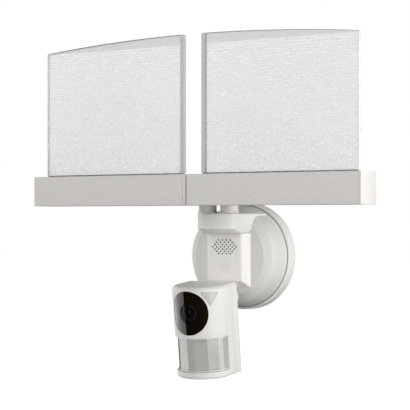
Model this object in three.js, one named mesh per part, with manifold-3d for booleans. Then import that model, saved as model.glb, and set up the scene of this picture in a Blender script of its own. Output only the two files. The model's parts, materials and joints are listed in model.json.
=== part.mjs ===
// Floodlight security camera: a round wall base with a column, two light bars with edge-lit panels
// on swivelling posts, and a camera head on a pan-and-tilt neck.
// Millimetres, +Z up. The origin is the centre of the wall bracket's back face: the wall is the plane
// y = 0, and the camera looks towards -Y.
import * as THREE from 'three';
import { mergeVertices } from 'three/addons/utils/BufferGeometryUtils.js';
import Module from 'manifold-3d';

const wasm = await Module();
wasm.setup();

// ---- Driving dimensions ----
const FIT = 0.3; // gap between neighbouring pieces
const WALL = 2.2; // wall of the moulded shells
const ROUND_STEPS = 40; // sides of the large round pieces
const SMALL_STEPS = 16; // sides of shafts and bores
const SCREW_STEPS = 12; // sides of the screws

const BASE_R = 54; // rear ring, wide enough to hide a 4 inch round box
const SEAM_R = 51; // dished cover where it meets the ring
const RING_DEPTH = 11.7; // wall to seam
const DISC_R = 39.6; // flat front of the dish
const DISC_Y = -38.9; // plane of that flat front
const COVER_WALL = 2.5;
const RIM_CHAMFER = 0.8;
const WEB = { back: -5, front: -8, rim: 48.2, hole: 24 }; // the base plate's floor and its wire opening
const GROOVE = { inner: 49.1, outer: 53.1, floor: -2 }; // holds the foam gasket
const GASKET_MARGIN = { side: 0.3, floor: 0.3 };
const DISC_HOLE_R = 16.5; // wire opening in the dish
const BASE_SCREW = { x: 31, shankR: 1.9, holeR: 2.2, headR: 3.8, headHeight: 2.4 };
const BRACKET = { halfLength: 45, halfWidth: 11, thickness: 2.4, slotX: 40 };
const BRACKET_SLOT = { halfX: 3.5, halfZ: 2.3 };

const COLUMN_FRONT_Y = -48;
const COLUMN_FRONT_X = 19.7; // half-width of the column's front face
const COLUMN_FOOT_X = 25.4; // half-width of the column on the dish
const COLUMN_TOP_Z = 23.3;
const COLUMN_LOW_Z = -24; // lower edge of the front face
const COLUMN_FOOT_Z = -30.4; // lower edge on the dish
const COLUMN_BACK_Y = -30; // inside the dish, before it is trimmed to it
const COLUMN_SCREW = { x: 19.8, z: -3, shankR: 1.3, holeR: 1.6, headR: 2.6, headHeight: 1.8 };
const COLUMN_BOSS = { radius: 2.2, tip: -43.8, back: -39.4 };

const CAP_R = 26.5; // radius of the cap's round front
const CAP_CENTRE_Y = -48.2;
const CAP_SIDE = { crease: 21, end: 26.2, endY: -38 }; // half-widths where a flat side starts and at endY
const CAP_FOOT = { crease: 19.9, end: 25.5 }; // the same at the skirt's foot
const CAP_BACK_Y = -18; // inside the dish, before it is trimmed to it
const CAP_TOP_Z = 42.7;
const CAP_SKIRT_Z = 27.8; // where the cap's side turns inward
const CAP_LOW_Z = 23.6;
const CAP_INSET = 6; // how far the skirt turns in
const CAP_STEPS = 24;
const CAP_ROOF = 2.7; // thickness of the cap's top
const CABLE_WAY = { halfX: 14, front: -46.5, back: -20 }; // opening in the cap's floor, towards the dish
const CLAMP = { inset: 1.5, thickness: 2, back: -45 }; // steel plate under the cap's top

const POST_X = 12.5; // the posts stand at plus and minus this
const POST_Y = -59;
const POST_R = 8.9;
const POST_FOOT_R = 9.9;
const POST_RIM = 1; // height of the foot's rim
const POST_FLARE = 4.2; // height at which the shaft becomes straight
const POST_EDGE = 1.2;
const POST_TOP_Z = 73;
const POST_STEM_R = 4.6; // shank through the cap
const POST_STEM_LOW_Z = 31.5;
const SWIVEL_NUT = { radius: 6.8, low: 33, high: 37 };

const TILT_Y = -77.5; // axis on which a light bar tilts
const TILT_Z = 65;
const LUG_HALF = 4; // half-width of the bar's lug
const LUG_R = 6;
const EAR_R = 6.5; // round end of the post's fork
const EAR_OUT = 8.4; // outer face of the fork, from the post's axis
const PIN_R = 2;
const PIN_HEAD_R = 3.6;
const PIN_HEAD_END = 1.9; // outer end of the pin's head, from the fork

const BAR_FRONT_Y = -118.1;
const BAR_BACK_Y = -87;
const BAR_LOW_Z = 50.3;
const BAR_TOP_Z = 80;
const BAR_INNER_X = 0.85; // the two bars meet at the middle
const BAR_OUTER_X = 183.9;
const BAR_WALL = 2;
const INNER_CAP = 3; // thickness of the inner end cap
const OUTER_CAP = 2.5;
const BAR_SCREW_X = [44, 140];
const BAR_SCREW_Z = 73.6;
const BAR_SCREW = { tip: -94.6, shankR: 1.5, holeR: 1.8, headR: 2.9, headHeight: 1.6 };
const BAR_BOSS = { halfWidth: 4, tip: -96.1, low: 70 };

const PANEL_Y = -104.5; // middle plane of the light panels
const PANEL_THICK = 2.2;
const PANEL_LOW_Z = 71; // lower, lit edge
const PANEL_INNER_X = 9.9; // the frame's inner edge
const PANEL_OUTER_X = 176.3;
const PANEL_APEX_Z = 214.6; // top of the shallow arc, at the middle
const PANEL_ARC_R = 1750;
const FRAME_THICK = 3.6;
const FRAME_INNER = 4.2; // width of the upright strip beside the middle
const FRAME_OUTER = 1;
const FRAME_TOP = 1.3;
const FRAME_WEB = 0.7;

const SLOT = { inner: 7.9, outer: 178.3, front: -107.9, back: -101.1 };
const SEAL_PROUD = 1.4; // how far the panel's seal stands above the bar
const LED_COUNT = 16;
const LED = { halfWidth: 1.6, margin: 5, low: 67.5, high: 69.2 };
const STRIP = { inner: 9, outer: 176.8, front: -107.9, back: -97.2, low: 66.2, high: 67.8 };
const SINK = { front: -111.9, back: -90.9, top: 65.9, base: 62.8, low: 54 };
const FIN = { count: 5, first: -110.4, pitch: 4.6, half: 0.8 };

const GRILLE_Z = 9.8;
const GRILLE_ROWS = [4, 5, 6, 7, 6, 5, 4];
const GRILLE_PITCH = 4.47;
const GRILLE_ROW_STEP = 2.26;
const GRILLE_HOLE_R = 0.85;
const BUTTON_Z = -7.5;
const BUTTON_R = 6.3;
const BUTTON = { back: -44.8, lip: 1, lipFront: -45.4, stemR: 1.6, stemBack: -44.3 };
const SPEAKER = { coneR: 9.4, front: -45.4, coneBack: -42, magnetR: 6, back: -35 };

const NECK_Y = -56; // pan axis, and the tilt axis crosses it
const NECK_Z = -39.5;
const SOCKET_R = 8.2;
const SOCKET_LOW_Z = -33;
const SOCKET_TOP_Z = -24.8;
const NECK_STUB_R = 4;
const NECK_NUT = { roomR: 6.4, room: 4.2, radius: 6, height: 2.6 };
const NECK_FLANGE = { radius: 7.6, thickness: 1.7 };
const BRIDGE_HALF = 4.5;
const BARREL_R = 5.2;
const BARREL_HALF = 8;
const EAR_OUTER_X = 18.5; // outer ends of the head's two ears

const HEAD_PITCH = THREE.MathUtils.degToRad(6.5); // the head looks slightly down
const HEAD_W = 28; // half-width
const HEAD_ARC_R = 28.5; // radius of the curved front, in plan
const HEAD_FRONT = -61; // these are measured from the tilt axis, along the head's own axes
const HEAD_SPLIT = -21.3;
const HEAD_BACK = -12.3;
const HEAD_TOP = 17.7;
const HEAD_LOW = -70.3;
const PLUG_Y = -53; // microphone plug in the underside
const PLUG_R = 2;
const WINDOW_Z = -6.3;
const WINDOW_R = 21.3; // measured along the curved front
const WINDOW_STEPS = 40;
const LAYER_INSET = 0.2; // the windows sit this far below the shell's surface
const LAYER_MARGIN = 3; // from the shell's ends to the layer that the windows are cut from
const CORNER_WINDOW = [[13.2, 14], [26.3, 13], [20.7, 0]]; // corners in x and z
const CORNER_SCALE = 0.9; // of the window in its opening
const PIR = { top: -30.8, low: -63.8, wrap: -34.3, inset: 2.2, wall: 1.2 };
const PIR_SENSOR = { z: -47, halfX: 12, low: -58, high: -36, front: -45, face: -40, back: -38.6, canR: 4.6 };
const HEAD_SCREW = { z: -50, tip: -30, shankR: 1.5, holeR: 1.8, headR: 2.9, headHeight: 1.6, bossR: 4.2 };
const LENS = { setBack: 3, ringR: 9, lipR: 8, boreR: 5.4, length: 16 };
const SENSOR_BOARD = { halfX: 17, low: -26, high: 12, front: -39, back: -37.4 };

// ---- Helpers ----
function solid(geometry) {
  geometry.deleteAttribute('normal');
  geometry.deleteAttribute('uv');
  const merged = mergeVertices(geometry, 1e-4);
  const vertProperties = new Float32Array(merged.attributes.position.array);
  const triVerts = new Uint32Array(merged.index.array);
  if (signedVolume(vertProperties, triVerts) < 0) {
    triVerts.reverse();
  }
  return new wasm.Manifold(new wasm.Mesh({ numProp: 3, vertProperties, triVerts }));
}

function signedVolume(positions, triangles) {
  const corner = (i) => new THREE.Vector3().fromArray(positions, 3 * triangles[i]);
  let total = 0;
  for (let i = 0; i < triangles.length; i += 3) {
    total += corner(i).dot(corner(i + 1).cross(corner(i + 2)));
  }
  return total;
}

function bufferGeometry(manifold) {
  const { vertProperties, triVerts } = manifold.getMesh();
  const geometry = new THREE.BufferGeometry();
  geometry.setAttribute('position', new THREE.BufferAttribute(vertProperties, 3));
  geometry.setIndex(new THREE.BufferAttribute(triVerts, 1));
  return geometry;
}

function box(low, high) {
  const size = low.map((value, axis) => Math.abs(high[axis] - value));
  const centre = low.map((value, axis) => (high[axis] + value) / 2);
  return solid(new THREE.BoxGeometry(...size).translate(...centre));
}

function outline(points) {
  return new THREE.Shape(points.map(([u, v]) => new THREE.Vector2(u, v)));
}

function extruded(shape, depth) {
  return new THREE.ExtrudeGeometry(shape, { depth, bevelEnabled: false, curveSegments: SMALL_STEPS });
}

// A plan outline in x and y, raised from one height to another.
function raised(shape, lowZ, highZ) {
  return solid(extruded(shape, highZ - lowZ).translate(0, 0, lowZ));
}

// A front outline in x and z, drawn from the back plane to the front plane.
function deep(shape, backY, frontY) {
  return solid(extruded(shape, backY - frontY).rotateX(Math.PI / 2).translate(0, backY, 0));
}

// A side outline in y and z, drawn along x.
function wide(shape, lowX, highX) {
  const turned = extruded(shape, highX - lowX).rotateX(Math.PI / 2).rotateZ(Math.PI / 2);
  return solid(turned.translate(lowX, 0, 0));
}

function turnedAboutY(profile, x = 0, z = 0, steps = ROUND_STEPS) {
  const points = profile.map(([radius, y]) => new THREE.Vector2(radius, y));
  return solid(new THREE.LatheGeometry(points, steps).translate(x, 0, z));
}

function turnedAboutZ(profile, x = 0, y = 0, steps = SMALL_STEPS) {
  const points = profile.map(([radius, z]) => new THREE.Vector2(radius, z));
  return solid(new THREE.LatheGeometry(points, steps).rotateX(Math.PI / 2).translate(x, y, 0));
}

// A solid over horizontal rings of equal length. The rings are convex, so their ends are fans.
function lofted(rings) {
  const count = rings[0].length;
  const indices = [];
  for (let start = 0; start + count < rings.length * count; start += count) {
    for (let i = 0; i < count; i += 1) {
      const j = (i + 1) % count;
      indices.push(start + i, start + j, start + count + j, start + i, start + count + j, start + count + i);
    }
  }
  const last = (rings.length - 1) * count;
  for (let i = 1; i + 1 < count; i += 1) {
    indices.push(0, i + 1, i, last, last + i, last + i + 1);
  }
  const geometry = new THREE.BufferGeometry();
  geometry.setAttribute('position', new THREE.Float32BufferAttribute(rings.flat(2), 3));
  geometry.setIndex(indices);
  return solid(geometry);
}

function rodX(radius, lowX, highX, y, z, steps = SMALL_STEPS) {
  const rod = new THREE.CylinderGeometry(radius, radius, highX - lowX, steps).rotateZ(Math.PI / 2);
  return solid(rod.translate((lowX + highX) / 2, y, z));
}

function rodY(radius, lowY, highY, x, z, steps = SMALL_STEPS) {
  const rod = new THREE.CylinderGeometry(radius, radius, highY - lowY, steps);
  return solid(rod.translate(x, (lowY + highY) / 2, z));
}

function rodZ(radius, lowZ, highZ, x, y, steps = SMALL_STEPS) {
  const rod = new THREE.CylinderGeometry(radius, radius, highZ - lowZ, steps).rotateX(Math.PI / 2);
  return solid(rod.translate(x, y, (lowZ + highZ) / 2));
}

function joined(pieces) {
  return pieces.reduce((whole, piece) => whole.add(piece));
}

function cut(body, tools) {
  return tools.reduce((rest, tool) => rest.subtract(tool), body);
}

function mesh(name, manifold, colour, roughness, metalness = 0) {
  const material = new THREE.MeshStandardMaterial({ color: colour, roughness, metalness });
  const piece = new THREE.Mesh(bufferGeometry(manifold), material);
  piece.name = name;
  return piece;
}

const BODY_COLOUR = 0xe4e2dd;
const BAR_COLOUR = 0xcbc8c4;
const PANEL_COLOUR = 0xe6e8ea;
const FRAME_COLOUR = 0xb9b8b6;
const SEAL_COLOUR = 0x6f6f6d;
const BOARD_COLOUR = 0x2f6b45;
const LED_BOARD_COLOUR = 0xf0efe8;
const TERMINAL_COLOUR = 0xd9d4c6;
const WINDOW_COLOUR = 0xd2d0cc;
const PIR_COLOUR = 0xc9c8c2;
const STEEL_COLOUR = 0xa9abad;
const ALUMINIUM_COLOUR = 0xb8bbbe;
const BLACK_COLOUR = 0x17130f;
const LENS_COLOUR = 0x20242c;
const LENS_RING_COLOUR = 0x26221f;

const plastic = (name, manifold) => mesh(name, manifold, BODY_COLOUR, 0.55);
const board = (name, manifold) => mesh(name, manifold, BOARD_COLOUR, 0.5);
const steel = (name, manifold) => mesh(name, manifold, STEEL_COLOUR, 0.35, 0.9);
const seal = (name, manifold) => mesh(name, manifold, SEAL_COLOUR, 0.9);

// A pan-head screw whose shank runs from the seat towards the given end, along y.
function screwY(x, z, seatY, tipY, { shankR, headR, headHeight }) {
  const outward = Math.sign(seatY - tipY);
  const headY = seatY + outward * headHeight;
  const head = rodY(headR, Math.min(seatY, headY), Math.max(seatY, headY), x, z, SCREW_STEPS);
  const low = Math.min(tipY, headY - outward * headHeight / 2);
  const high = Math.max(tipY, headY - outward * headHeight / 2);
  return head.add(rodY(shankR, low, high, x, z, SCREW_STEPS));
}

// ---- Wall mount ----
// The dish's outer profile from its rear rim to its centre, grown by a margin.
function dishProfile(margin) {
  const rim = [
    [SEAM_R, -RING_DEPTH + 3.4],
    [SEAM_R, -RING_DEPTH],
    [50.6, -17],
    [49.7, -24],
    [48.5, -31],
    [47.3, -34.6],
    [45.6, -36.9],
    [43, -38.4],
    [DISC_R, DISC_Y],
  ];
  return rim.map(([radius, y]) => [radius + margin, y - margin]);
}

function dishEnvelope() {
  const profile = dishProfile(FIT);
  const rear = [0, profile[0][1]];
  const front = [0, DISC_Y - FIT];
  return turnedAboutY([rear, ...profile, front]);
}

function wallMount() {
  const { halfLength, halfWidth, thickness, slotX } = BRACKET;
  const strap = box([-halfLength, -thickness, -halfWidth], [halfLength, 0, halfWidth]);
  const screwHoles = () => [-1, 1].map((side) => rodY(BASE_SCREW.holeR, -20, 5, side * BASE_SCREW.x, 0));
  const slots = [-1, 1].map((side) => box(
    [side * slotX - BRACKET_SLOT.halfX, -thickness - 1, -BRACKET_SLOT.halfZ],
    [side * slotX + BRACKET_SLOT.halfX, 1, BRACKET_SLOT.halfZ],
  ));

  const ringInner = SEAM_R + FIT;
  const plate = turnedAboutY([
    [WEB.hole, WEB.back],
    [WEB.rim, WEB.back],
    [WEB.rim, 0],
    [GROOVE.inner, 0],
    [GROOVE.inner, GROOVE.floor],
    [GROOVE.outer, GROOVE.floor],
    [GROOVE.outer, 0],
    [BASE_R, 0],
    [BASE_R, -RING_DEPTH + RIM_CHAMFER],
    [BASE_R - RIM_CHAMFER, -RING_DEPTH],
    [ringInner, -RING_DEPTH],
    [ringInner, WEB.front],
    [WEB.hole, WEB.front],
    [WEB.hole, WEB.back],
  ]);

  const gasketInner = GROOVE.inner + GASKET_MARGIN.side;
  const gasketOuter = GROOVE.outer - GASKET_MARGIN.side;
  const gasketFloor = GROOVE.floor + GASKET_MARGIN.floor;
  const gasket = turnedAboutY([
    [gasketInner, gasketFloor],
    [gasketInner, 0],
    [gasketOuter, 0],
    [gasketOuter, gasketFloor],
    [gasketInner, gasketFloor],
  ]);

  const outer = dishProfile(0);
  const inner = outer.map(([radius, y], i) => [radius - COVER_WALL, i === 0 ? y : y + COVER_WALL]);
  const hole = [[DISC_HOLE_R, DISC_Y], [DISC_HOLE_R, DISC_Y + COVER_WALL]];
  const cover = turnedAboutY([...outer, ...hole, ...inner.reverse(), outer[0]]);
  const coverHoles = [-1, 1].map((side) => rodY(
    COLUMN_SCREW.holeR,
    DISC_Y - 3,
    DISC_Y + 9,
    side * COLUMN_SCREW.x,
    COLUMN_SCREW.z,
  ));

  const screws = [['left', -1], ['right', 1]].map(([name, side]) => steel(
    `base_screw_${name}`,
    screwY(side * BASE_SCREW.x, 0, WEB.front - FIT, -FIT, BASE_SCREW),
  ));
  return [
    steel('wall_bracket', cut(strap, [...slots, ...screwHoles()])),
    seal('wall_gasket', gasket),
    plastic('base_plate', cut(plate, screwHoles())),
    plastic('base_cover', cut(cover, coverHoles)),
    ...screws,
  ];
}

// ---- Column, with the speaker grille, the button and the camera socket ----
function columnPrism(inset) {
  const front = COLUMN_FRONT_Y + inset;
  const back = COLUMN_BACK_Y;
  const slope = (COLUMN_FOOT_X - COLUMN_FRONT_X) / (DISC_Y - COLUMN_FRONT_Y);
  const backX = COLUMN_FRONT_X + slope * (back - COLUMN_FRONT_Y) - inset;
  const plan = outline([
    [-COLUMN_FRONT_X + inset, front],
    [COLUMN_FRONT_X - inset, front],
    [backX, back],
    [-backX, back],
  ]);
  const drop = (COLUMN_LOW_Z - COLUMN_FOOT_Z) / (DISC_Y - COLUMN_FRONT_Y);
  const side = outline([
    [front, COLUMN_LOW_Z + inset],
    [back, COLUMN_LOW_Z + inset - drop * (back - COLUMN_FRONT_Y)],
    [back, COLUMN_TOP_Z + (inset ? 10 : 0)],
    [front, COLUMN_TOP_Z + (inset ? 10 : 0)],
  ]);
  return raised(plan, -60, COLUMN_TOP_Z + 20).intersect(wide(side, -60, 60));
}

function grilleHoles() {
  const half = (GRILLE_ROWS.length - 1) / 2;
  return GRILLE_ROWS.flatMap((count, row) => Array.from({ length: count }, (_, i) => rodY(
    GRILLE_HOLE_R,
    COLUMN_FRONT_Y - 2,
    COLUMN_FRONT_Y + WALL + 1,
    (i - (count - 1) / 2) * GRILLE_PITCH,
    GRILLE_Z + (half - row) * GRILLE_ROW_STEP,
    6,
  )));
}

function column() {
  const { x: screwX, z: screwZ } = COLUMN_SCREW;
  const { radius: bossR, tip: bossTip, back: bossBack } = COLUMN_BOSS;
  const bosses = [-1, 1].map((side) => rodY(bossR, bossTip, bossBack, side * screwX, screwZ));
  const pilotHoles = [-1, 1].map((side) => (
    rodY(COLUMN_SCREW.holeR, bossTip + 0.8, COLUMN_BACK_Y, side * screwX, screwZ)
  ));
  const arm = box([-SOCKET_R, NECK_Y, SOCKET_LOW_Z], [SOCKET_R, COLUMN_FRONT_Y + 6, SOCKET_TOP_Z]);
  const collar = rodZ(SOCKET_R, SOCKET_LOW_Z, SOCKET_TOP_Z, 0, NECK_Y, 32);
  const bore = rodZ(NECK_STUB_R + FIT, SOCKET_LOW_Z - 1, SOCKET_TOP_Z + 1, 0, NECK_Y, 24);
  const nutRoom = rodZ(NECK_NUT.roomR, SOCKET_TOP_Z - NECK_NUT.room, SOCKET_TOP_Z + 1, 0, NECK_Y, 24);
  const shell = cut(columnPrism(0), [columnPrism(WALL)]);
  const housing = cut(joined([shell, ...bosses, arm, collar]), [
    dishEnvelope(),
    bore,
    nutRoom,
    ...pilotHoles,
    ...grilleHoles(),
    rodY(BUTTON_R + FIT, COLUMN_FRONT_Y - 2, COLUMN_FRONT_Y + WALL + 1, 0, BUTTON_Z, 32),
  ]);

  const speakerCone = rodY(SPEAKER.coneR, SPEAKER.front, SPEAKER.coneBack, 0, GRILLE_Z, 32);
  const speakerMagnet = rodY(SPEAKER.magnetR, SPEAKER.coneBack - 0.5, SPEAKER.back, 0, GRILLE_Z);
  const boardPlate = box([-15.5, -42.4, -22.5], [15.5, -40.9, -4.3]);
  const switchBody = box([-3, -43.4, BUTTON_Z - 3], [3, -42, BUTTON_Z + 3]);
  const processor = box([-12, -41.5, -20], [-3, -39.7, -11]);
  const radioModule = box([4, -41.5, -19], [11, -40, -12]);
  const mainBoard = joined([boardPlate, switchBody, processor, radioModule]);
  const button = joined([
    rodY(BUTTON_R, COLUMN_FRONT_Y, BUTTON.back - 0.2, 0, BUTTON_Z, 32),
    rodY(BUTTON_R + BUTTON.lip, BUTTON.lipFront, BUTTON.back, 0, BUTTON_Z, 32),
    rodY(BUTTON.stemR, BUTTON.back - 0.2, BUTTON.stemBack, 0, BUTTON_Z, SCREW_STEPS),
  ]);

  const screws = [['left', -1], ['right', 1]].map(([name, side]) => steel(
    `column_screw_${name}`,
    screwY(side * screwX, screwZ, DISC_Y + COVER_WALL + FIT, bossTip + 1.3, COLUMN_SCREW),
  ));
  return [
    plastic('column_housing', housing),
    mesh('speaker', speakerCone.add(speakerMagnet), BLACK_COLOUR, 0.7),
    board('main_board', mainBoard),
    plastic('push_button', button),
    ...screws,
  ];
}

// ---- Cap on the column, with the plate that clamps the posts ----
// The cap's plan at one height, drawn in by an inset. The skirt turns in by turnIn, and its sides follow
// the column's.
function capRing(inset, turnIn, z) {
  const radius = CAP_R - inset - turnIn;
  const share = turnIn / CAP_INSET;
  const crease = THREE.MathUtils.lerp(CAP_SIDE.crease, CAP_FOOT.crease, share) - inset;
  const end = THREE.MathUtils.lerp(CAP_SIDE.end, CAP_FOOT.end, share) - inset;
  const creaseY = CAP_CENTRE_Y - Math.sqrt(radius * radius - crease * crease);
  const slope = (end - crease) / (CAP_SIDE.endY - creaseY);
  const back = crease + slope * (CAP_BACK_Y - creaseY);
  const reach = Math.asin(crease / radius);
  const front = Array.from({ length: CAP_STEPS + 1 }, (_, i) => {
    const angle = reach * (2 * i / CAP_STEPS - 1);
    return [radius * Math.sin(angle), CAP_CENTRE_Y - radius * Math.cos(angle), z];
  });
  return [[-back, CAP_BACK_Y, z], ...front, [back, CAP_BACK_Y, z]];
}

function capSolid(inset, topZ) {
  return lofted([
    capRing(inset, CAP_INSET, CAP_LOW_Z + inset),
    capRing(inset, 0, CAP_SKIRT_Z + inset / 2),
    capRing(inset, 0, topZ),
  ]);
}

function cap() {
  const ceiling = CAP_TOP_Z - CAP_ROOF;
  const cableWay = box(
    [-CABLE_WAY.halfX, CABLE_WAY.front, CAP_LOW_Z - 1],
    [CABLE_WAY.halfX, CABLE_WAY.back, CAP_SKIRT_Z + 4],
  );
  const stemHoles = [-POST_X, POST_X].map((x) => (
    rodZ(POST_STEM_R + FIT, CAP_SKIRT_Z, CAP_TOP_Z + 2, x, POST_Y)
  ));
  const shell = cut(capSolid(0, CAP_TOP_Z), [
    capSolid(WALL, ceiling),
    cableWay,
    dishEnvelope(),
    ...stemHoles,
  ]);

  const plateTop = ceiling - FIT;
  const plate = capSolid(WALL + CLAMP.inset, plateTop).intersect(
    box([-CAP_R, CAP_CENTRE_Y - CAP_R, plateTop - CLAMP.thickness], [CAP_R, CLAMP.back, plateTop]),
  );
  return [
    plastic('column_cap', shell),
    steel('swivel_clamp_plate', cut(plate, stemHoles)),
  ];
}

// ---- Boards and wiring inside the dish ----
function electronics() {
  const back = -16.4;
  const face = -18; // the component side of the board
  const into = face + 0.5; // components start inside the board, so that they join it
  const plate = box([-30, face, -36], [30, back, 8]);
  const transformer = box([-24, -31, -30], [-4, into, -12]);
  const driver = box([3, -27, -10], [25, into, 3]);
  const connector = box([-22, -25, -6], [-8, into, 2]);
  const capacitors = [8, 20].map((x) => rodY(5, -33, into, x, -24));
  const powerBoard = joined([plate, transformer, driver, connector, ...capacitors]);

  const block = { low: [-10, -27, 24], high: [10, -17, 33] };
  const wireWays = [-6, 0, 6].map((x) => rodY(1.8, block.low[1] - 1, block.low[1] + 5, x, 28.5, SCREW_STEPS));
  const terminalBlock = cut(box(block.low, block.high), wireWays);
  return [
    board('power_board', powerBoard),
    mesh('terminal_block', terminalBlock, TERMINAL_COLOUR, 0.6),
  ];
}

// ---- One light: side is -1 for the left one and 1 for the right one ----
const panelEdge = { inner: PANEL_INNER_X + FRAME_WEB + FIT, outer: PANEL_OUTER_X - FRAME_WEB - FIT };

function swivelPost(name, side) {
  const x = side * POST_X;
  const footZ = CAP_TOP_Z + FIT;
  const post = turnedAboutZ([
    [0, POST_STEM_LOW_Z],
    [POST_STEM_R, POST_STEM_LOW_Z],
    [POST_STEM_R, footZ],
    [POST_FOOT_R, footZ],
    [POST_FOOT_R, footZ + POST_RIM],
    [POST_R + 0.3, footZ + POST_FLARE / 2],
    [POST_R, footZ + POST_FLARE],
    [POST_R, POST_TOP_Z - POST_EDGE],
    [POST_R - POST_EDGE, POST_TOP_Z],
    [0, POST_TOP_Z],
  ], x, POST_Y, 24);
  const ears = [-1, 1].map((end) => {
    const near = x + end * (LUG_HALF + FIT);
    const far = x + end * EAR_OUT;
    const low = Math.min(near, far);
    const high = Math.max(near, far);
    const web = box([low, TILT_Y, TILT_Z - EAR_R], [high, POST_Y - 2, TILT_Z + EAR_R]);
    return web.add(rodX(EAR_R, low, high, TILT_Y, TILT_Z, 24));
  });
  const pinHole = rodX(PIN_R + FIT, x - 12, x + 12, TILT_Y, TILT_Z);
  const { radius: nutR, low: nutLow, high: nutHigh } = SWIVEL_NUT;
  const nut = rodZ(nutR, nutLow, nutHigh, x, POST_Y, 6).subtract(
    rodZ(POST_STEM_R + FIT, nutLow - 1, nutHigh + 1, x, POST_Y),
  );
  const pin = joined([
    rodX(PIN_R, x - EAR_OUT - 1, x + EAR_OUT + 1, TILT_Y, TILT_Z),
    rodX(PIN_HEAD_R, x - EAR_OUT - PIN_HEAD_END, x - EAR_OUT - FIT, TILT_Y, TILT_Z),
    rodX(PIN_HEAD_R, x + EAR_OUT + FIT, x + EAR_OUT + PIN_HEAD_END, TILT_Y, TILT_Z),
  ]);
  return [
    plastic(`swivel_post_${name}`, cut(joined([post, ...ears]), [pinHole])),
    steel(`swivel_nut_${name}`, nut),
    steel(`tilt_pin_${name}`, pin),
  ];
}

function lightBar(name, side) {
  const inner = BAR_INNER_X + INNER_CAP + FIT;
  const outer = BAR_OUTER_X - OUTER_CAP - FIT;
  const xs = (a, b) => [side * a, side * b];
  const block = (xa, xb, ya, yb, za, zb) => {
    const [left, right] = xs(xa, xb);
    return box([left, ya, za], [right, yb, zb]);
  };
  const frontIn = BAR_FRONT_Y + BAR_WALL;
  const lowIn = BAR_LOW_Z + BAR_WALL;
  const topIn = BAR_TOP_Z - BAR_WALL;
  const backFront = BAR_BACK_Y - BAR_WALL;

  const { halfWidth: bossHalf, tip: bossTip, low: bossLow } = BAR_BOSS;
  const bosses = BAR_SCREW_X.map((x) => (
    block(x - bossHalf, x + bossHalf, bossTip, backFront - FIT, bossLow, topIn + 0.5)
  ));
  const bossHoles = BAR_SCREW_X.map((x) => (
    rodY(BAR_SCREW.holeR, bossTip - 1, BAR_BACK_Y + 5, side * x, BAR_SCREW_Z, SCREW_STEPS)
  ));
  const channel = cut(block(inner, outer, BAR_FRONT_Y, BAR_BACK_Y, BAR_LOW_Z, BAR_TOP_Z), [
    block(inner - 1, outer + 1, frontIn, BAR_BACK_Y + 1, lowIn, topIn),
    block(SLOT.inner, SLOT.outer, SLOT.front, SLOT.back, topIn - 1, BAR_TOP_Z + 1),
  ]);
  const housing = cut(joined([channel, ...bosses]), bossHoles);

  const lugX = side * POST_X;
  const backPlate = block(inner, outer, backFront, BAR_BACK_Y, lowIn + FIT, topIn - FIT);
  const lugArm = box(
    [lugX - LUG_HALF, backFront, TILT_Z - LUG_R],
    [lugX + LUG_HALF, TILT_Y, TILT_Z + LUG_R],
  );
  const lugEnd = rodX(LUG_R, lugX - LUG_HALF, lugX + LUG_HALF, TILT_Y, TILT_Z, 24);
  const back = cut(joined([backPlate, lugArm, lugEnd]), [
    rodX(PIN_R + FIT, lugX - 6, lugX + 6, TILT_Y, TILT_Z),
    ...bossHoles,
  ]);

  const capBlock = (xa, xb) => block(xa, xb, BAR_FRONT_Y, BAR_BACK_Y, BAR_LOW_Z, BAR_TOP_Z);
  const screws = BAR_SCREW_X.map((x) => (
    screwY(side * x, BAR_SCREW_Z, BAR_BACK_Y + FIT, BAR_SCREW.tip, BAR_SCREW)
  ));

  const ledPitch = (PANEL_OUTER_X - PANEL_INNER_X - 2 * LED.margin) / (LED_COUNT - 1);
  const leds = Array.from({ length: LED_COUNT }, (_, i) => {
    const x = PANEL_INNER_X + LED.margin + i * ledPitch;
    const half = LED.halfWidth;
    return block(x - half, x + half, PANEL_Y - half, PANEL_Y + half, LED.low, LED.high);
  });
  const ledBoard = block(STRIP.inner, STRIP.outer, STRIP.front, STRIP.back, STRIP.low, STRIP.high);

  const fins = Array.from({ length: FIN.count }, (_, i) => FIN.first + i * FIN.pitch).flatMap((y) => [
    [y - FIN.half, SINK.base],
    [y - FIN.half, SINK.low],
    [y + FIN.half, SINK.low],
    [y + FIN.half, SINK.base],
  ]);
  const section = outline([
    [SINK.front, SINK.top],
    [SINK.front, SINK.base],
    ...fins,
    [SINK.back, SINK.base],
    [SINK.back, SINK.top],
  ]);
  const sinkEnds = xs(STRIP.inner, STRIP.outer);
  const sink = wide(section, Math.min(...sinkEnds), Math.max(...sinkEnds));

  const sealTop = BAR_TOP_Z + SEAL_PROUD;
  const panelHalf = PANEL_THICK / 2 + FIT;
  const [holeInner, holeOuter] = [panelEdge.inner - FIT, panelEdge.outer + FIT];
  const panelSeal = cut(
    block(SLOT.inner + FIT, SLOT.outer - FIT, SLOT.front + FIT, SLOT.back - FIT, topIn, sealTop),
    [block(holeInner, holeOuter, PANEL_Y - panelHalf, PANEL_Y + panelHalf, topIn - 1, sealTop + 1)],
  );
  const colour = BAR_COLOUR;
  return [
    mesh(`bar_housing_${name}`, housing, colour, 0.6),
    mesh(`bar_back_${name}`, back, colour, 0.6),
    mesh(`inner_end_cap_${name}`, capBlock(BAR_INNER_X, BAR_INNER_X + INNER_CAP), colour, 0.6),
    mesh(`outer_end_cap_${name}`, capBlock(BAR_OUTER_X - OUTER_CAP, BAR_OUTER_X), colour, 0.6),
    steel(`bar_screw_inner_${name}`, screws[0]),
    steel(`bar_screw_outer_${name}`, screws[1]),
    mesh(`led_strip_${name}`, joined([ledBoard, ...leds]), LED_BOARD_COLOUR, 0.5),
    mesh(`heat_sink_${name}`, sink, ALUMINIUM_COLOUR, 0.4, 0.9),
    seal(`slot_gasket_${name}`, panelSeal),
  ];
}

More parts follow.
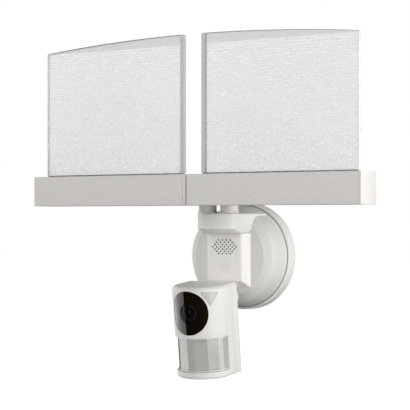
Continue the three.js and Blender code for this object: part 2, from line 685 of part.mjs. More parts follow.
// Height of the light panels' shared top arc, lowered by an inset.
function arcZ(x, inset) {
  const radius = PANEL_ARC_R - inset;
  return PANEL_APEX_Z - PANEL_ARC_R + Math.sqrt(radius * radius - x * x);
}

function panelOutline(side, innerX, outerX, lowZ, topInset) {
  const arcSteps = 10;
  const top = Array.from({ length: arcSteps + 1 }, (_, i) => {
    const x = outerX + (innerX - outerX) * i / arcSteps;
    return [side * x, arcZ(x, topInset)];
  });
  return outline([[side * innerX, lowZ], [side * outerX, lowZ], ...top]);
}

function lightPanel(name, side) {
  const half = PANEL_THICK / 2;
  const frameHalf = FRAME_THICK / 2;
  const panel = deep(
    panelOutline(side, panelEdge.inner, panelEdge.outer, PANEL_LOW_Z, FRAME_WEB + FIT),
    PANEL_Y + half,
    PANEL_Y - half,
  );
  const frameLow = BAR_TOP_Z + SEAL_PROUD + FIT;
  const rim = deep(
    panelOutline(side, PANEL_INNER_X, PANEL_OUTER_X, frameLow, 0),
    PANEL_Y + frameHalf,
    PANEL_Y - frameHalf,
  );
  const view = deep(
    panelOutline(side, PANEL_INNER_X + FRAME_INNER, PANEL_OUTER_X - FRAME_OUTER, frameLow - 5, FRAME_TOP),
    PANEL_Y + 10,
    PANEL_Y - 10,
  );
  const groove = deep(
    panelOutline(side, PANEL_INNER_X + FRAME_WEB, PANEL_OUTER_X - FRAME_WEB, frameLow - 5, FRAME_WEB),
    PANEL_Y + half + FIT,
    PANEL_Y - half - FIT,
  );
  return [
    mesh(`light_panel_${name}`, panel, PANEL_COLOUR, 0.3),
    mesh(`panel_frame_${name}`, cut(rim, [view, groove]), FRAME_COLOUR, 0.5),
  ];
}

// ---- Camera neck ----
function neck() {
  const stub = rodZ(NECK_STUB_R, NECK_Z, SOCKET_TOP_Z - 0.4, 0, NECK_Y, 24);
  const flangeTop = SOCKET_LOW_Z - FIT;
  const flange = rodZ(NECK_FLANGE.radius, flangeTop - NECK_FLANGE.thickness, flangeTop, 0, NECK_Y, 32);
  const barrel = rodX(BARREL_R, -BARREL_HALF, BARREL_HALF, NECK_Y, NECK_Z, 24);
  const bridge = box(
    [-BRIDGE_HALF, NECK_Y - BRIDGE_HALF, NECK_Z],
    [BRIDGE_HALF, NECK_Y + BRIDGE_HALF, flangeTop - NECK_FLANGE.thickness / 2],
  );
  const bore = rodX(PIN_R + FIT, -12, 12, NECK_Y, NECK_Z);
  const nutLow = SOCKET_TOP_Z - NECK_NUT.room + FIT;
  const nutTop = nutLow + NECK_NUT.height;
  const nut = rodZ(NECK_NUT.radius, nutLow, nutTop, 0, NECK_Y, 6).subtract(
    rodZ(NECK_STUB_R + FIT, nutLow - 1, nutTop + 1, 0, NECK_Y, 24),
  );
  return [
    plastic('camera_neck', cut(joined([stub, flange, bridge, barrel]), [bore])),
    steel('neck_nut', nut),
  ];
}

// ---- Camera head, drawn about its own tilt axis and then pitched ----
// The D-shaped plan: a curved front and straight sides, drawn in by an inset.
function headPlan(inset, backY) {
  const halfWidth = HEAD_W - inset;
  const radius = HEAD_ARC_R - inset;
  const centre = HEAD_FRONT + HEAD_ARC_R;
  const reach = Math.asin(halfWidth / radius);
  const shape = new THREE.Shape();
  shape.moveTo(-halfWidth, backY);
  shape.lineTo(halfWidth, backY);
  shape.absarc(0, centre, radius, -Math.PI / 2 + reach, -Math.PI / 2 - reach, true);
  return shape;
}

function headShell(inset, lowZ, highZ) {
  return raised(headPlan(inset, 0), lowZ, highZ);
}

// A solid along y whose outline is a circle wrapped on the curved front.
function wrappedCircle(radius) {
  const points = Array.from({ length: WINDOW_STEPS }, (_, i) => {
    const angle = 2 * Math.PI * i / WINDOW_STEPS;
    const x = HEAD_ARC_R * Math.sin(radius * Math.cos(angle) / HEAD_ARC_R);
    return [x, WINDOW_Z + radius * Math.sin(angle)];
  });
  return deep(outline(points), HEAD_SPLIT, HEAD_FRONT - 5);
}

// The triangular windows beside the lens: corners in x and z seen from the front, shrunk for their fit.
function cornerWindow(side, scale) {
  const centre = [0, 1].map((axis) => CORNER_WINDOW.reduce((sum, corner) => sum + corner[axis] / 3, 0));
  const scaled = (value, axis) => centre[axis] + scale * (value - centre[axis]);
  const shape = outline(CORNER_WINDOW.map(([x, z]) => [side * scaled(x, 0), scaled(z, 1)]));
  return deep(shape, HEAD_SPLIT - 5, HEAD_FRONT - 5);
}

function head() {
  const reach = 90; // longer than the head in any direction
  const behindSplit = box([-reach, HEAD_SPLIT, -reach], [reach, reach, reach]);
  const pirBand = (margin) => box(
    [-reach, -reach, PIR.low + margin],
    [reach, PIR.wrap - margin, PIR.top - margin],
  );
  const hollow = headShell(WALL, HEAD_LOW + WALL, HEAD_TOP - WALL);
  const skin = headShell(0, HEAD_LOW, HEAD_TOP).subtract(hollow);
  const plugHole = rodZ(PLUG_R + FIT, HEAD_LOW - 2, HEAD_LOW + 4, 0, PLUG_Y, SCREW_STEPS);
  const front = cut(skin, [
    behindSplit,
    wrappedCircle(WINDOW_R),
    pirBand(0),
    cornerWindow(-1, 1),
    cornerWindow(1, 1),
    plugHole,
  ]);

  const layer = (outer, inner) => headShell(outer, HEAD_LOW + LAYER_MARGIN, HEAD_TOP - LAYER_MARGIN)
    .subtract(headShell(inner, HEAD_LOW, HEAD_TOP));
  const glass = layer(LAYER_INSET, WALL).intersect(wrappedCircle(WINDOW_R - FIT));
  const windows = [-1, 1].map((side) => layer(LAYER_INSET, WALL).intersect(cornerWindow(side, CORNER_SCALE)));
  const pir = layer(PIR.inset, PIR.inset + PIR.wall).intersect(pirBand(FIT));

  const rearSpan = box([-reach, HEAD_SPLIT + FIT, -reach], [reach, HEAD_BACK, reach]);
  const rearRoom = box([-reach, HEAD_SPLIT, -reach], [reach, HEAD_BACK - WALL, reach]);
  const tray = headShell(0, HEAD_LOW, HEAD_TOP).intersect(rearSpan).subtract(hollow.intersect(rearRoom));
  const screwBoss = rodY(HEAD_SCREW.bossR, HEAD_SPLIT + FIT, HEAD_BACK - WALL / 2, 0, HEAD_SCREW.z);
  const ears = [-1, 1].map((side) => {
    const near = side * (BARREL_HALF + FIT);
    const far = side * EAR_OUTER_X;
    const web = box([near, HEAD_BACK - WALL / 2, -BARREL_R], [far, 0, BARREL_R]);
    return web.add(rodX(BARREL_R, Math.min(near, far), Math.max(near, far), 0, 0, 24));
  });
  const pinHole = rodX(PIN_R + FIT, -EAR_OUTER_X - 1, EAR_OUTER_X + 1, 0, 0);
  const screwHole = rodY(HEAD_SCREW.holeR, HEAD_SPLIT - 1, HEAD_BACK + 1, 0, HEAD_SCREW.z, SCREW_STEPS);
  const rear = cut(joined([tray, screwBoss, ...ears]), [pinHole, screwHole]);

  const lensY = HEAD_FRONT + LENS.setBack;
  const barrel = turnedAboutY([
    [LENS.boreR, lensY + 2],
    [LENS.lipR, lensY + 1],
    [LENS.ringR, lensY + 2.5],
    [LENS.ringR, lensY + LENS.length],
    [LENS.boreR, lensY + LENS.length],
    [LENS.boreR, lensY + 2],
  ], 0, WINDOW_Z, 32);
  const lens = turnedAboutY([
    [0, lensY + 3],
    [2.6, lensY + 3.4],
    [LENS.boreR - FIT - 0.1, lensY + 5],
    [LENS.boreR - FIT - 0.1, lensY + 9],
    [0, lensY + 9],
  ], 0, WINDOW_Z, 24);
  const { halfX: boardHalf, front: boardFront, back: boardBack } = SENSOR_BOARD;
  const chipHalf = 5;
  const sensorBoard = joined([
    box([-boardHalf, boardFront, SENSOR_BOARD.low], [boardHalf, boardBack, SENSOR_BOARD.high]),
    box([-chipHalf, boardFront - 1.2, WINDOW_Z - chipHalf], [chipHalf, boardBack - 1, WINDOW_Z + chipHalf]),
  ]);
  const { halfX: plateHalf, face: plateFace, back: plateBack } = PIR_SENSOR;
  const pirSensor = joined([
    box([-plateHalf, plateFace, PIR_SENSOR.low], [plateHalf, plateBack, PIR_SENSOR.high]),
    rodY(PIR_SENSOR.canR, PIR_SENSOR.front, plateBack - 0.4, 0, PIR_SENSOR.z),
  ]);
  const headScrew = screwY(0, HEAD_SCREW.z, HEAD_BACK + FIT, HEAD_SCREW.tip, HEAD_SCREW);
  const pinEnd = EAR_OUTER_X - 1;
  const plug = rodZ(PLUG_R, HEAD_LOW - 1, HEAD_LOW + 3, 0, PLUG_Y, SCREW_STEPS);
  return [
    plastic('head_front_shell', front),
    plastic('head_rear_cover', rear),
    mesh('lens_window', glass, BLACK_COLOUR, 0.08),
    mesh('light_window_left', windows[0], WINDOW_COLOUR, 0.25),
    mesh('light_window_right', windows[1], WINDOW_COLOUR, 0.25),
    mesh('pir_lens', pir, PIR_COLOUR, 0.35),
    mesh('lens_barrel', barrel, LENS_RING_COLOUR, 0.5),
    mesh('lens_glass', lens, LENS_COLOUR, 0.05),
    board('sensor_board', sensorBoard),
    mesh('pir_sensor', pirSensor, STEEL_COLOUR, 0.4, 0.6),
    steel('head_screw', headScrew),
    steel('head_tilt_pin', rodX(PIN_R, -pinEnd, pinEnd, 0, 0)),
    plastic('microphone_plug', plug),
  ];
}

// ---- Assembly ----
const floodlightCamera = new THREE.Group();
floodlightCamera.add(...wallMount(), ...column(), ...cap(), ...electronics());
for (const [name, side] of [['left', -1], ['right', 1]]) {
  floodlightCamera.add(...swivelPost(name, side), ...lightBar(name, side), ...lightPanel(name, side));
}
floodlightCamera.add(...neck());

const headGroup = new THREE.Group();
headGroup.position.set(0, NECK_Y, NECK_Z);
headGroup.rotation.x = HEAD_PITCH;
headGroup.add(...head());
floodlightCamera.add(headGroup);

export default floodlightCamera;
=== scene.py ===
"""Looks of the floodlight security camera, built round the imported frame.

Lengths in this file are written in millimetres and turned into metres by MM.
Places come from the frame's boxes; the few radii and pitches named here are those of the real piece.
"""
import json
import math

import bmesh
import bpy
from mathutils import Matrix, Vector

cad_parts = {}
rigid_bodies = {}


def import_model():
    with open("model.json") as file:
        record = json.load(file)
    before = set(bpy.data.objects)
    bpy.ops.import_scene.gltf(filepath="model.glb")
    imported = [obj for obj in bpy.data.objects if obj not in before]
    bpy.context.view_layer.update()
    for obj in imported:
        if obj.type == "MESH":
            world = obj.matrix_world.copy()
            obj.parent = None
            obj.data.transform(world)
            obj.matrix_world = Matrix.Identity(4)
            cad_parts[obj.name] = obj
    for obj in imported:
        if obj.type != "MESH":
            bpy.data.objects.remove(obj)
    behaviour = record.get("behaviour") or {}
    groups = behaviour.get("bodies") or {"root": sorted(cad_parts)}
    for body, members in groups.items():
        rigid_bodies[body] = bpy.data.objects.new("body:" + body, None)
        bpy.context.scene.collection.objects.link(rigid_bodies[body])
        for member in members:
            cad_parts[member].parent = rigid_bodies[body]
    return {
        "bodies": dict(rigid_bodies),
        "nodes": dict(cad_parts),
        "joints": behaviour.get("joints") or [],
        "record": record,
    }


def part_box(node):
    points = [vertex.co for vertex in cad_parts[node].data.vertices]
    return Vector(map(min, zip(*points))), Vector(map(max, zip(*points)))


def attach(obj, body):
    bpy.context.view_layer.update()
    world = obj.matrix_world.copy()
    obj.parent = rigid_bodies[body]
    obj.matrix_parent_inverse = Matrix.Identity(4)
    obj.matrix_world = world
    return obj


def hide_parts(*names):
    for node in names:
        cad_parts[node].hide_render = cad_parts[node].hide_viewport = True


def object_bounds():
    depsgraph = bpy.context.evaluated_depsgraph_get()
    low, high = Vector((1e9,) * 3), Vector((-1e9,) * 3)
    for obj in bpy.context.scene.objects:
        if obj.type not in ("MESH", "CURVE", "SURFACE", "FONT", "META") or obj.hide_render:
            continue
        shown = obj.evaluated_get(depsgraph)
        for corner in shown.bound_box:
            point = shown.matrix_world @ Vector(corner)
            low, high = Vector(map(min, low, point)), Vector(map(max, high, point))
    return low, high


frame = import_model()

CAD_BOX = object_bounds()
MM = 0.001
SIDES = {"left": -1, "right": 1}
JOINTS = {joint["name"]: joint for joint in frame["joints"]}
GAP = 0.3  # clearance that neighbouring pieces keep


# ---------------- places


def box_mm(node):
    """The node's lowest and highest corners, in millimetres."""
    low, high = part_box(node)
    return low / MM, high / MM


def joint_mm(name):
    """The point that a joint turns about, in millimetres."""
    return Vector(JOINTS[name]["pos_m"]) / MM


PITCH = math.radians(6.5)  # how far the camera head looks down at rest
HEAD_TO_ROW = Matrix.Translation(joint_mm("camera_tilt")) @ Matrix.Rotation(PITCH, 4, "X")


# ---------------- mesh helpers


def new_object(name, bm, to_row=None):
    """A mesh object from a bmesh in millimetres, with its faces turned outward."""
    bmesh.ops.remove_doubles(bm, verts=bm.verts, dist=1e-4)
    bmesh.ops.recalc_face_normals(bm, faces=bm.faces)
    if to_row is not None:
        bm.transform(to_row)
    bm.transform(Matrix.Scale(MM, 4))
    mesh = bpy.data.meshes.new(name)
    bm.to_mesh(mesh)
    bm.free()
    obj = bpy.data.objects.new(name, mesh)
    bpy.context.scene.collection.objects.link(obj)
    return obj


def loft(name, rings, to_row=None, closed=False):
    """A skin over rings of equal length. Its ends are filled, or joined to each other when closed."""
    bm = bmesh.new()
    rows = [[bm.verts.new(point) for point in ring] for ring in rings]
    count = len(rows[0])
    pairs = list(zip(rows, rows[1:] + rows[:1])) if closed else list(zip(rows, rows[1:]))
    for near, far in pairs:
        for i in range(count):
            j = (i + 1) % count
            bm.faces.new((near[i], near[j], far[j], far[i]))
    if not closed:
        bm.faces.new(rows[0])
        bm.faces.new(rows[-1])
    return new_object(name, bm, to_row)


def turned(name, profile, axis, centre, steps=128, to_row=None):
    """A profile of (radius, height) points turned about an axis through centre.

    A profile that starts and ends on the axis makes a solid, and any other makes a closed ring.
    """
    def place(radius, height, angle):
        u, v = radius * math.cos(angle), radius * math.sin(angle)
        if axis == "Y":
            return Vector((centre[0] + u, height, centre[1] + v))
        return Vector((centre[0] + u, centre[1] + v, height))

    bm = bmesh.new()
    columns = [[bm.verts.new(place(r, h, angle)) for r, h in profile] for angle in circle(steps)]
    solid = profile[0][0] < 1e-6 and profile[-1][0] < 1e-6
    count = len(profile)
    spans = [(i, i + 1) for i in range(count - 1)] + ([] if solid else [(count - 1, 0)])
    for step in range(steps):
        here, there = columns[step], columns[(step + 1) % steps]
        for i, j in spans:
            corners = [here[i], there[i], there[j], here[j]]
            if profile[i][0] < 1e-6:
                corners = [here[i], there[j], here[j]]
            elif profile[j][0] < 1e-6:
                corners = [here[i], there[i], here[j]]
            bm.faces.new(corners)
    return new_object(name, bm, to_row)


def slab(name, outline, axis, start, end, to_row=None):
    """A flat outline drawn along an axis: (y, z) along X, (x, z) along Y, (x, y) along Z."""
    def place(u, v, w):
        return {"X": (w, u, v), "Y": (u, w, v), "Z": (u, v, w)}[axis]

    rings = [[Vector(place(u, v, w)) for u, v in outline] for w in (start, end)]
    return loft(name, rings, to_row)


def circle(steps):
    """Angles round a circle."""
    return [2 * math.pi * i / steps for i in range(steps)]


def quarter(steps):
    """Angles from 0 to a right angle."""
    return [math.pi / 2 * i / steps for i in range(steps + 1)]


def rod(name, radius, axis, centre, start, end, steps=48, to_row=None):
    """A round cutter or pin along an axis."""
    outline = [(centre[0] + radius * math.cos(a), centre[1] + radius * math.sin(a)) for a in circle(steps)]
    return slab(name, outline, axis, start, end, to_row)


def rod_pair(radius, x, z, start, end, steps=48):
    """A cutter along Y on each side of the middle."""
    return [rod("tool", radius, "Y", (side * x, z), start, end, steps) for side in (-1, 1)]


def block(name, low, high, to_row=None):
    """A box between two corners."""
    outline = [(low[0], low[1]), (high[0], low[1]), (high[0], high[1]), (low[0], high[1])]
    return slab(name, outline, "Z", low[2], high[2], to_row)


def arc(centre, radius, start, end, steps, squeeze=1.0):
    """Points on an arc, with its second axis scaled by squeeze. Angles are in degrees."""
    angles = [math.radians(start + (end - start) * i / steps) for i in range(steps + 1)]
    return [
        (centre[0] + radius * math.cos(a), centre[1] + radius * squeeze * math.sin(a))
        for a in angles
    ]


def bend(start, corner, end, steps):
    """Points that round off a corner, from start to end."""
    shares = [i / steps for i in range(steps + 1)]
    return [start * (1 - t) ** 2 + corner * 2 * t * (1 - t) + end * t * t for t in shares]


def bezier(a, b, c, d, steps):
    """Points on a cubic curve from a to d."""
    points = []
    for i in range(steps + 1):
        t = i / steps
        weights = ((1 - t) ** 3, 3 * t * (1 - t) ** 2, 3 * t * t * (1 - t), t ** 3)
        points.append(tuple(sum(w * p[k] for w, p in zip(weights, (a, b, c, d))) for k in (0, 1)))
    return points


def rounded_outline(low, high, radius, steps=6):
    """A rectangle with round corners, as a list of points."""
    radii = [radius] * 4 if isinstance(radius, (int, float)) else radius
    corners = [
        ((high[0] - radii[0], high[1] - radii[0]), radii[0], 0),
        ((low[0] + radii[1], high[1] - radii[1]), radii[1], 90),
        ((low[0] + radii[2], low[1] + radii[2]), radii[2], 180),
        ((high[0] - radii[3], low[1] + radii[3]), radii[3], 270),
    ]
    points = []
    for centre, r, start in corners:
        points += arc(centre, r, start, start + 90, steps) if r > 0 else [centre]
    return points


def apply_modifiers(obj):
    graph = bpy.context.evaluated_depsgraph_get()
    mesh = bpy.data.meshes.new_from_object(obj.evaluated_get(graph))
    obj.modifiers.clear()
    obj.data = mesh
    return obj


def combine(obj, tools, operation):
    """Joins or cuts obj with other solids, which are used up."""
    for tool in tools:
        modifier = obj.modifiers.new(operation, "BOOLEAN")
        modifier.operation = operation
        modifier.solver = "EXACT"
        modifier.object = tool
        apply_modifiers(obj)
        bpy.data.objects.remove(tool)
    return obj


def cut(obj, *tools):
    return combine(obj, tools, "DIFFERENCE")


def join(obj, *tools):
    return combine(obj, tools, "UNION")


def soften(obj, width, segments=3, angle=30):
    """Rounds the sharp edges, and leaves smooth shading between them."""
    modifier = obj.modifiers.new("edges", "BEVEL")
    modifier.width = width * MM
    modifier.segments = segments
    modifier.limit_method = "ANGLE"
    modifier.angle_limit = math.radians(angle)
    modifier.miter_outer = "MITER_ARC"
    apply_modifiers(obj)
    return obj


def round_edges(obj, width, segments, chosen):
    """Rounds the edges whose ends, in millimetres, satisfy a test."""
    bm = bmesh.new()
    bm.from_mesh(obj.data)
    edges = [edge for edge in bm.edges if chosen(*(vertex.co / MM for vertex in edge.verts))]
    bmesh.ops.bevel(bm, geom=edges, offset=width * MM, segments=segments, profile=0.5, affect="EDGES")
    bm.to_mesh(obj.data)
    bm.free()


def fit_out(obj, body, material, node, crease=38):
    """Gives a finished piece its shading and material, and puts it on a CAD body in a node's place."""
    obj.data.shade_smooth()
    obj.data.set_sharp_from_angle(angle=math.radians(crease))
    obj.data.materials.clear()
    obj.data.materials.append(material)
    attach(obj, body)
    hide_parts(node)


# ---------------- materials


class Paint:
    """A node material: a Principled surface with small helpers for its patterns."""

    def __init__(self, name, roughness=0.5, metallic=0.0):
        self.material = bpy.data.materials.new(name)
        self.material.use_nodes = True
        self.tree = self.material.node_tree
        self.surface = self.tree.nodes["Principled BSDF"]
        self.level("Roughness", roughness)
        self.level("Metallic", metallic)
        self.place = self.node("TexCoord").outputs["Object"]

    def level(self, socket, value):
        """Sets a value that is the same all over the surface."""
        self.surface.inputs[socket].default_value = value

    def link(self, source, target):
        self.tree.links.new(source, target)

    def node(self, kind, inputs=(), **settings):
        """A new shader node. Each of its inputs is given a value, or the output that feeds it."""
        node = self.tree.nodes.new("ShaderNode" + kind)
        for name, value in settings.items():
            setattr(node, name, value)
        for socket, value in dict(inputs).items():
            if isinstance(value, bpy.types.NodeSocket):
                self.link(value, node.inputs[socket])
            else:
                node.inputs[socket].default_value = value
        return node

    def stretched(self, scale):
        """The place on the object, scaled along x, y and z."""
        return self.node("Mapping", {"Vector": self.place, "Scale": scale}).outputs["Vector"]

    def noise(self, size, detail=2.0, vector=None):
        """A noise whose blotches are about size millimetres across."""
        inputs = {"Vector": vector or self.place, "Scale": 1 / (size * MM), "Detail": detail}
        return self.node("TexNoise", inputs).outputs["Fac"]

    def ramp(self, value, low, high):
        """Spreads a value from a low and a high threshold to 0 and 1."""
        return self.node("MapRange", {"Value": value, "From Min": low, "From Max": high}).outputs["Result"]

    def math(self, operation, a, b=0.0):
        return self.node("Math", {0: a, 1: b}, operation=operation).outputs["Value"]

    def plus(self, a, b):
        return self.math("ADD", a, b)

    def minus(self, a, b):
        return self.math("SUBTRACT", a, b)

    def times(self, a, b):
        return self.math("MULTIPLY", a, b)

    def vectors(self, operation, place, other):
        """A number from two vectors, such as their distance."""
        return self.node("VectorMath", {0: place, 1: other}, operation=operation).outputs["Value"]

    def axis(self, name):
        return self.node("SeparateXYZ", {"Vector": self.place}).outputs[name]

    def waves(self, value, length):
        """A sine wave along a value, of a length in millimetres."""
        return self.math("SINE", self.times(value, 2 * math.pi / (length * MM)))

    def mix(self, factor, a, b):
        """A colour between a and b."""
        a, b = ((*tone, 1) if isinstance(tone, tuple) else tone for tone in (a, b))
        return self.node("Mix", {"Factor": factor, 6: a, 7: b}, data_type="RGBA").outputs[2]

    def feed(self, socket, source):
        self.link(source, self.surface.inputs[socket])

    def finish(self, colour, pattern, roughness, *bumps):
        """The finished material. Roughness goes from low to high with a pattern.

        Each bump is a pair of a height value and its depth in millimetres.
        """
        self.feed("Base Color", colour)
        rough = {"Value": pattern, "To Min": roughness[0], "To Max": roughness[1]}
        self.feed("Roughness", self.node("MapRange", rough).outputs["Result"])
        normal = None
        for height, depth in bumps:
            inputs = {"Strength": 1, "Distance": depth * MM, "Height": height}
            if normal is not None:
                inputs["Normal"] = normal
            normal = self.node("Bump", inputs).outputs["Normal"]
        if bumps:
            self.feed("Normal", normal)
        return self.material

    def edge_highlight(self, colour, lighter):
        """Lightens the convex edges in patches: a painted highlight along them."""
        edge = self.ramp(self.node("NewGeometry").outputs["Pointiness"], 0.515, 0.56)
        return self.mix(self.times(edge, self.noise(3)), colour, lighter)


def moulded_plastic(name, pale, dark, grit=0.65):
    """Moulded plastic with a fine spark-eroded texture, faint blotches and a painted highlight on its convex
    edges.
    """
    paint = Paint(name)
    blotch = paint.ramp(paint.noise(22, 3), 0.35, 0.65)
    speckle = paint.ramp(paint.noise(1.1, 3), 0.38, 0.62)
    both = paint.plus(paint.times(blotch, 1 - grit), paint.times(speckle, grit))
    highlight_tone = tuple(min(1.0, value * 1.05) for value in pale)
    # painted highlight: a lighter tone on the convex edges
    colour = paint.edge_highlight(paint.mix(both, dark, pale), highlight_tone)
    paint.level("Specular IOR Level", 0.4)
    return paint.finish(colour, speckle, (0.44, 0.58), (paint.noise(0.45), 0.03), (paint.noise(1.4), 0.02))


def trim_plastic(name, highlight_from):
    """The panels' edging: grey along the middle of the lamp, and turned pale at its outer ends by a painted
    highlight.
    """
    paint = Paint(name, 0.42)
    speckle = paint.ramp(paint.noise(1.1, 3), 0.35, 0.65)
    # painted highlight: the edging grows pale away from the middle
    pale = paint.ramp(paint.math("ABSOLUTE", paint.axis("X")), highlight_from, highlight_from + 12 * MM)
    grey = paint.mix(speckle, (0.66, 0.655, 0.645), (0.71, 0.705, 0.695))
    colour = paint.mix(pale, grey, (0.88, 0.875, 0.86))
    return paint.finish(colour, speckle, (0.38, 0.5), (paint.noise(0.45), 0.02))


def brushed_metal(name, pale, dark, roughness, grain):
    """Bare metal with a drawn grain along one axis, and a few marks."""
    paint = Paint(name, metallic=1.0)
    streaks = paint.noise(1, 3, paint.stretched(grain))
    marks = paint.ramp(paint.noise(6, 4), 0.55, 0.75)
    colour = paint.mix(paint.ramp(streaks, 0.35, 0.65), dark, pale)
    wear = paint.plus(paint.times(streaks, 0.7), paint.times(marks, 0.3))
    return paint.finish(colour, wear, (roughness - 0.08, roughness + 0.15), (streaks, 0.02))


def rubber(name, tone):
    """Matt rubber with a dusty bloom."""
    paint = Paint(name, 0.85)
    bloom = paint.ramp(paint.noise(9, 4), 0.4, 0.7)
    colour = paint.mix(bloom, (tone, tone, tone * 0.97), (tone * 1.5, tone * 1.5, tone * 1.45))
    return paint.finish(colour, paint.noise(2), (0.75, 0.95), (paint.noise(0.6), 0.05))


def circuit_board(name, mask, trace):
    """Solder mask with copper traces that show through as straight runs."""
    paint = Paint(name, 0.35)
    upright = paint.node("Mapping", {"Vector": paint.place, "Rotation": (math.radians(90), 0, 0)})
    runs = {"Vector": upright.outputs["Vector"], "Scale": 400, "Mortar Size": 0.06}
    brick = paint.node("TexBrick", runs).outputs["Fac"]
    return paint.finish(paint.mix(brick, mask, trace), brick, (0.3, 0.5), (brick, 0.04))


def dotted_acrylic(name, dots_low, dots_top):
    """Clear light guide with printed dots: fine at the lit foot, and growing into dashes under the arc."""
    paint = Paint(name, 0.3)
    up = paint.axis("Z")
    fine = paint.ramp(paint.noise(1.3, 1), 0.36, 0.64)
    rows = paint.ramp(paint.waves(up, 2.9), -0.8, 0.8)
    breaks = paint.ramp(paint.noise(1.2, 1, paint.stretched((0.18, 0.18, 1))), 0.38, 0.62)
    dashes = paint.plus(paint.times(rows, 0.6), paint.times(breaks, 0.4))
    rise = paint.ramp(up, dots_low, dots_top)
    pattern = paint.plus(paint.times(fine, paint.minus(1.0, rise)), paint.times(dashes, rise))
    below = paint.ramp(up, dots_top + 0.3 * MM, dots_top - 0.3 * MM)
    printed = paint.times(paint.plus(paint.times(pattern, 0.8), paint.times(rise, 0.15)), below)
    cloud = paint.ramp(paint.noise(30), 0.3, 0.7)
    base = paint.mix(cloud, (0.79, 0.795, 0.80), (0.82, 0.825, 0.83))
    paint.feed("Alpha", paint.minus(0.46, paint.times(printed, 0.27)))
    return paint.finish(paint.mix(printed, base, (0.98, 0.98, 0.975)), cloud, (0.32, 0.4), (cloud, 0.05))


def fresnel_film(name, rib, middle, up, half_height):
    """Milky polythene with the fine ribs of a Fresnel lens, and a flange above and below them, painted pale
    as a highlight and edged with painted shade.
    """
    paint = Paint(name, 0.4)
    half = half_height * MM
    milk = paint.ramp(paint.noise(7, 3), 0.3, 0.7)
    tone = paint.mix(milk, (0.47, 0.46, 0.44), (0.53, 0.52, 0.50))
    ridge = paint.ramp(paint.waves(paint.axis("Z"), rib), -1, 1)
    film = paint.mix(paint.times(ridge, 0.25), tone, (0.66, 0.65, 0.63))
    height = paint.vectors("DOT_PRODUCT", paint.place, up)
    away = paint.math("ABSOLUTE", paint.minus(height, middle.dot(up) * MM))
    # painted highlight: the flange is lightened
    flange = paint.ramp(away, half - 0.2 * MM, half)
    # painted shade: a thin dark band along the flange's edge
    shade_edge = paint.ramp(paint.math("ABSOLUTE", paint.minus(away, half)), 0.5 * MM, 0.2 * MM)
    film_and_lit_flange = paint.mix(flange, film, (0.74, 0.73, 0.71))
    colour = paint.mix(paint.times(shade_edge, 0.6), film_and_lit_flange, (0.30, 0.30, 0.29))
    paint.level("Coat Weight", 0.6)
    paint.level("Coat Roughness", 0.1)
    return paint.finish(colour, milk, (0.12, 0.18), (ridge, 0.008))


def tinted_window(name, tone):
    """Semi-gloss translucent plastic."""
    paint = Paint(name, 0.22)
    milk = paint.ramp(paint.noise(5), 0.3, 0.7)
    dark = tuple(value * 0.93 for value in tone)
    return paint.finish(paint.mix(milk, dark, tone), milk, (0.18, 0.3), (paint.noise(1.5), 0.01))


def lens_cover(name, centre, clear_radius):
    """Polished black cover, printed on its back except for a clear round patch over the lens."""
    paint = Paint(name, 0.05)
    patch = (centre[0] * MM, 0, centre[2] * MM)
    away = paint.vectors("DISTANCE", paint.stretched((1, 0, 1)), patch)
    printed = paint.ramp(away, (clear_radius - 0.3) * MM, (clear_radius + 0.3) * MM)
    smear = paint.ramp(paint.noise(14, 3), 0.45, 0.75)
    paint.feed("Alpha", paint.plus(paint.times(printed, 0.75), 0.25))
    colour = paint.mix(smear, (0.0075, 0.0045, 0.0025), (0.0095, 0.006, 0.0035))
    return paint.finish(colour, smear, (0.03, 0.07))


def coated_glass(name, glint_place):
    """Lens glass, dark but for a painted reflection: the blue glint of its coating, set as a soft spot in its
    base colour.
    """
    paint = Paint(name, 0.06)
    away = paint.vectors("DISTANCE", paint.place, glint_place * MM)
    glint_edge_noise = paint.times(paint.noise(1.5), 0.7 * MM)
    # painted reflection: the blue glint as a spot round a fixed place
    bloom = paint.ramp(paint.plus(away, glint_edge_noise), 1.9 * MM, 0.9 * MM)
    paint.feed("Base Color", paint.mix(bloom, (0.008, 0.007, 0.008), (0.03, 0.03, 0.42)))
    paint.level("Specular IOR Level", 0.9)
    paint.level("Coat Weight", 1.0)
    paint.level("Coat Roughness", 0.02)
    return paint.material


def black_plastic(name, pitch):
    """Matt black moulding with fine turned lines."""
    paint = Paint(name, 0.5)
    grain = paint.noise(pitch)
    colour = paint.mix(grain, (0.012, 0.011, 0.010), (0.024, 0.022, 0.020))
    return paint.finish(colour, grain, (0.4, 0.6), (grain, 0.03))


CASING = moulded_plastic("casing plastic", (0.86, 0.84, 0.81), (0.80, 0.78, 0.755))
# painted shade: a darker copy of the casing plastic for the dish
DISH_SHADED_COPY = moulded_plastic("dish plastic, shaded copy", (0.78, 0.765, 0.74), (0.72, 0.705, 0.685))
# painted light: a lighter copy of the casing plastic for the column and its button
COLUMN_LIT_COPY = moulded_plastic("column plastic, lit copy", (0.95, 0.93, 0.90), (0.90, 0.88, 0.855))
# painted shade: a darker copy of the casing plastic for the bars, their backs and end caps
BAR_SHADED_COPY = moulded_plastic("bar plastic, shaded copy", (0.80, 0.775, 0.75), (0.71, 0.685, 0.66), 0.8)
TRIM = trim_plastic("panel trim plastic", 160 * MM)
ACRYLIC = dotted_acrylic("dotted acrylic", 95 * MM, 204.5 * MM)
SEAL = rubber("seal rubber", 0.16)
STEEL = brushed_metal("zinc plated steel", (0.62, 0.62, 0.63), (0.46, 0.46, 0.48), 0.34, (0.05, 1, 1))
ALUMINIUM = brushed_metal("extruded aluminium", (0.72, 0.73, 0.74), (0.58, 0.59, 0.60), 0.4, (0.02, 1, 1))
BOARD = circuit_board("green board", (0.012, 0.10, 0.035), (0.05, 0.26, 0.09))
LED_BOARD = circuit_board("white board", (0.80, 0.80, 0.77), (0.62, 0.60, 0.52))
WINDOW = tinted_window("window plastic", (0.62, 0.61, 0.59))
TERMINAL = tinted_window("terminal plastic", (0.62, 0.57, 0.44))
BLACK = black_plastic("black plastic", 0.7)


# ---------------- wall mount

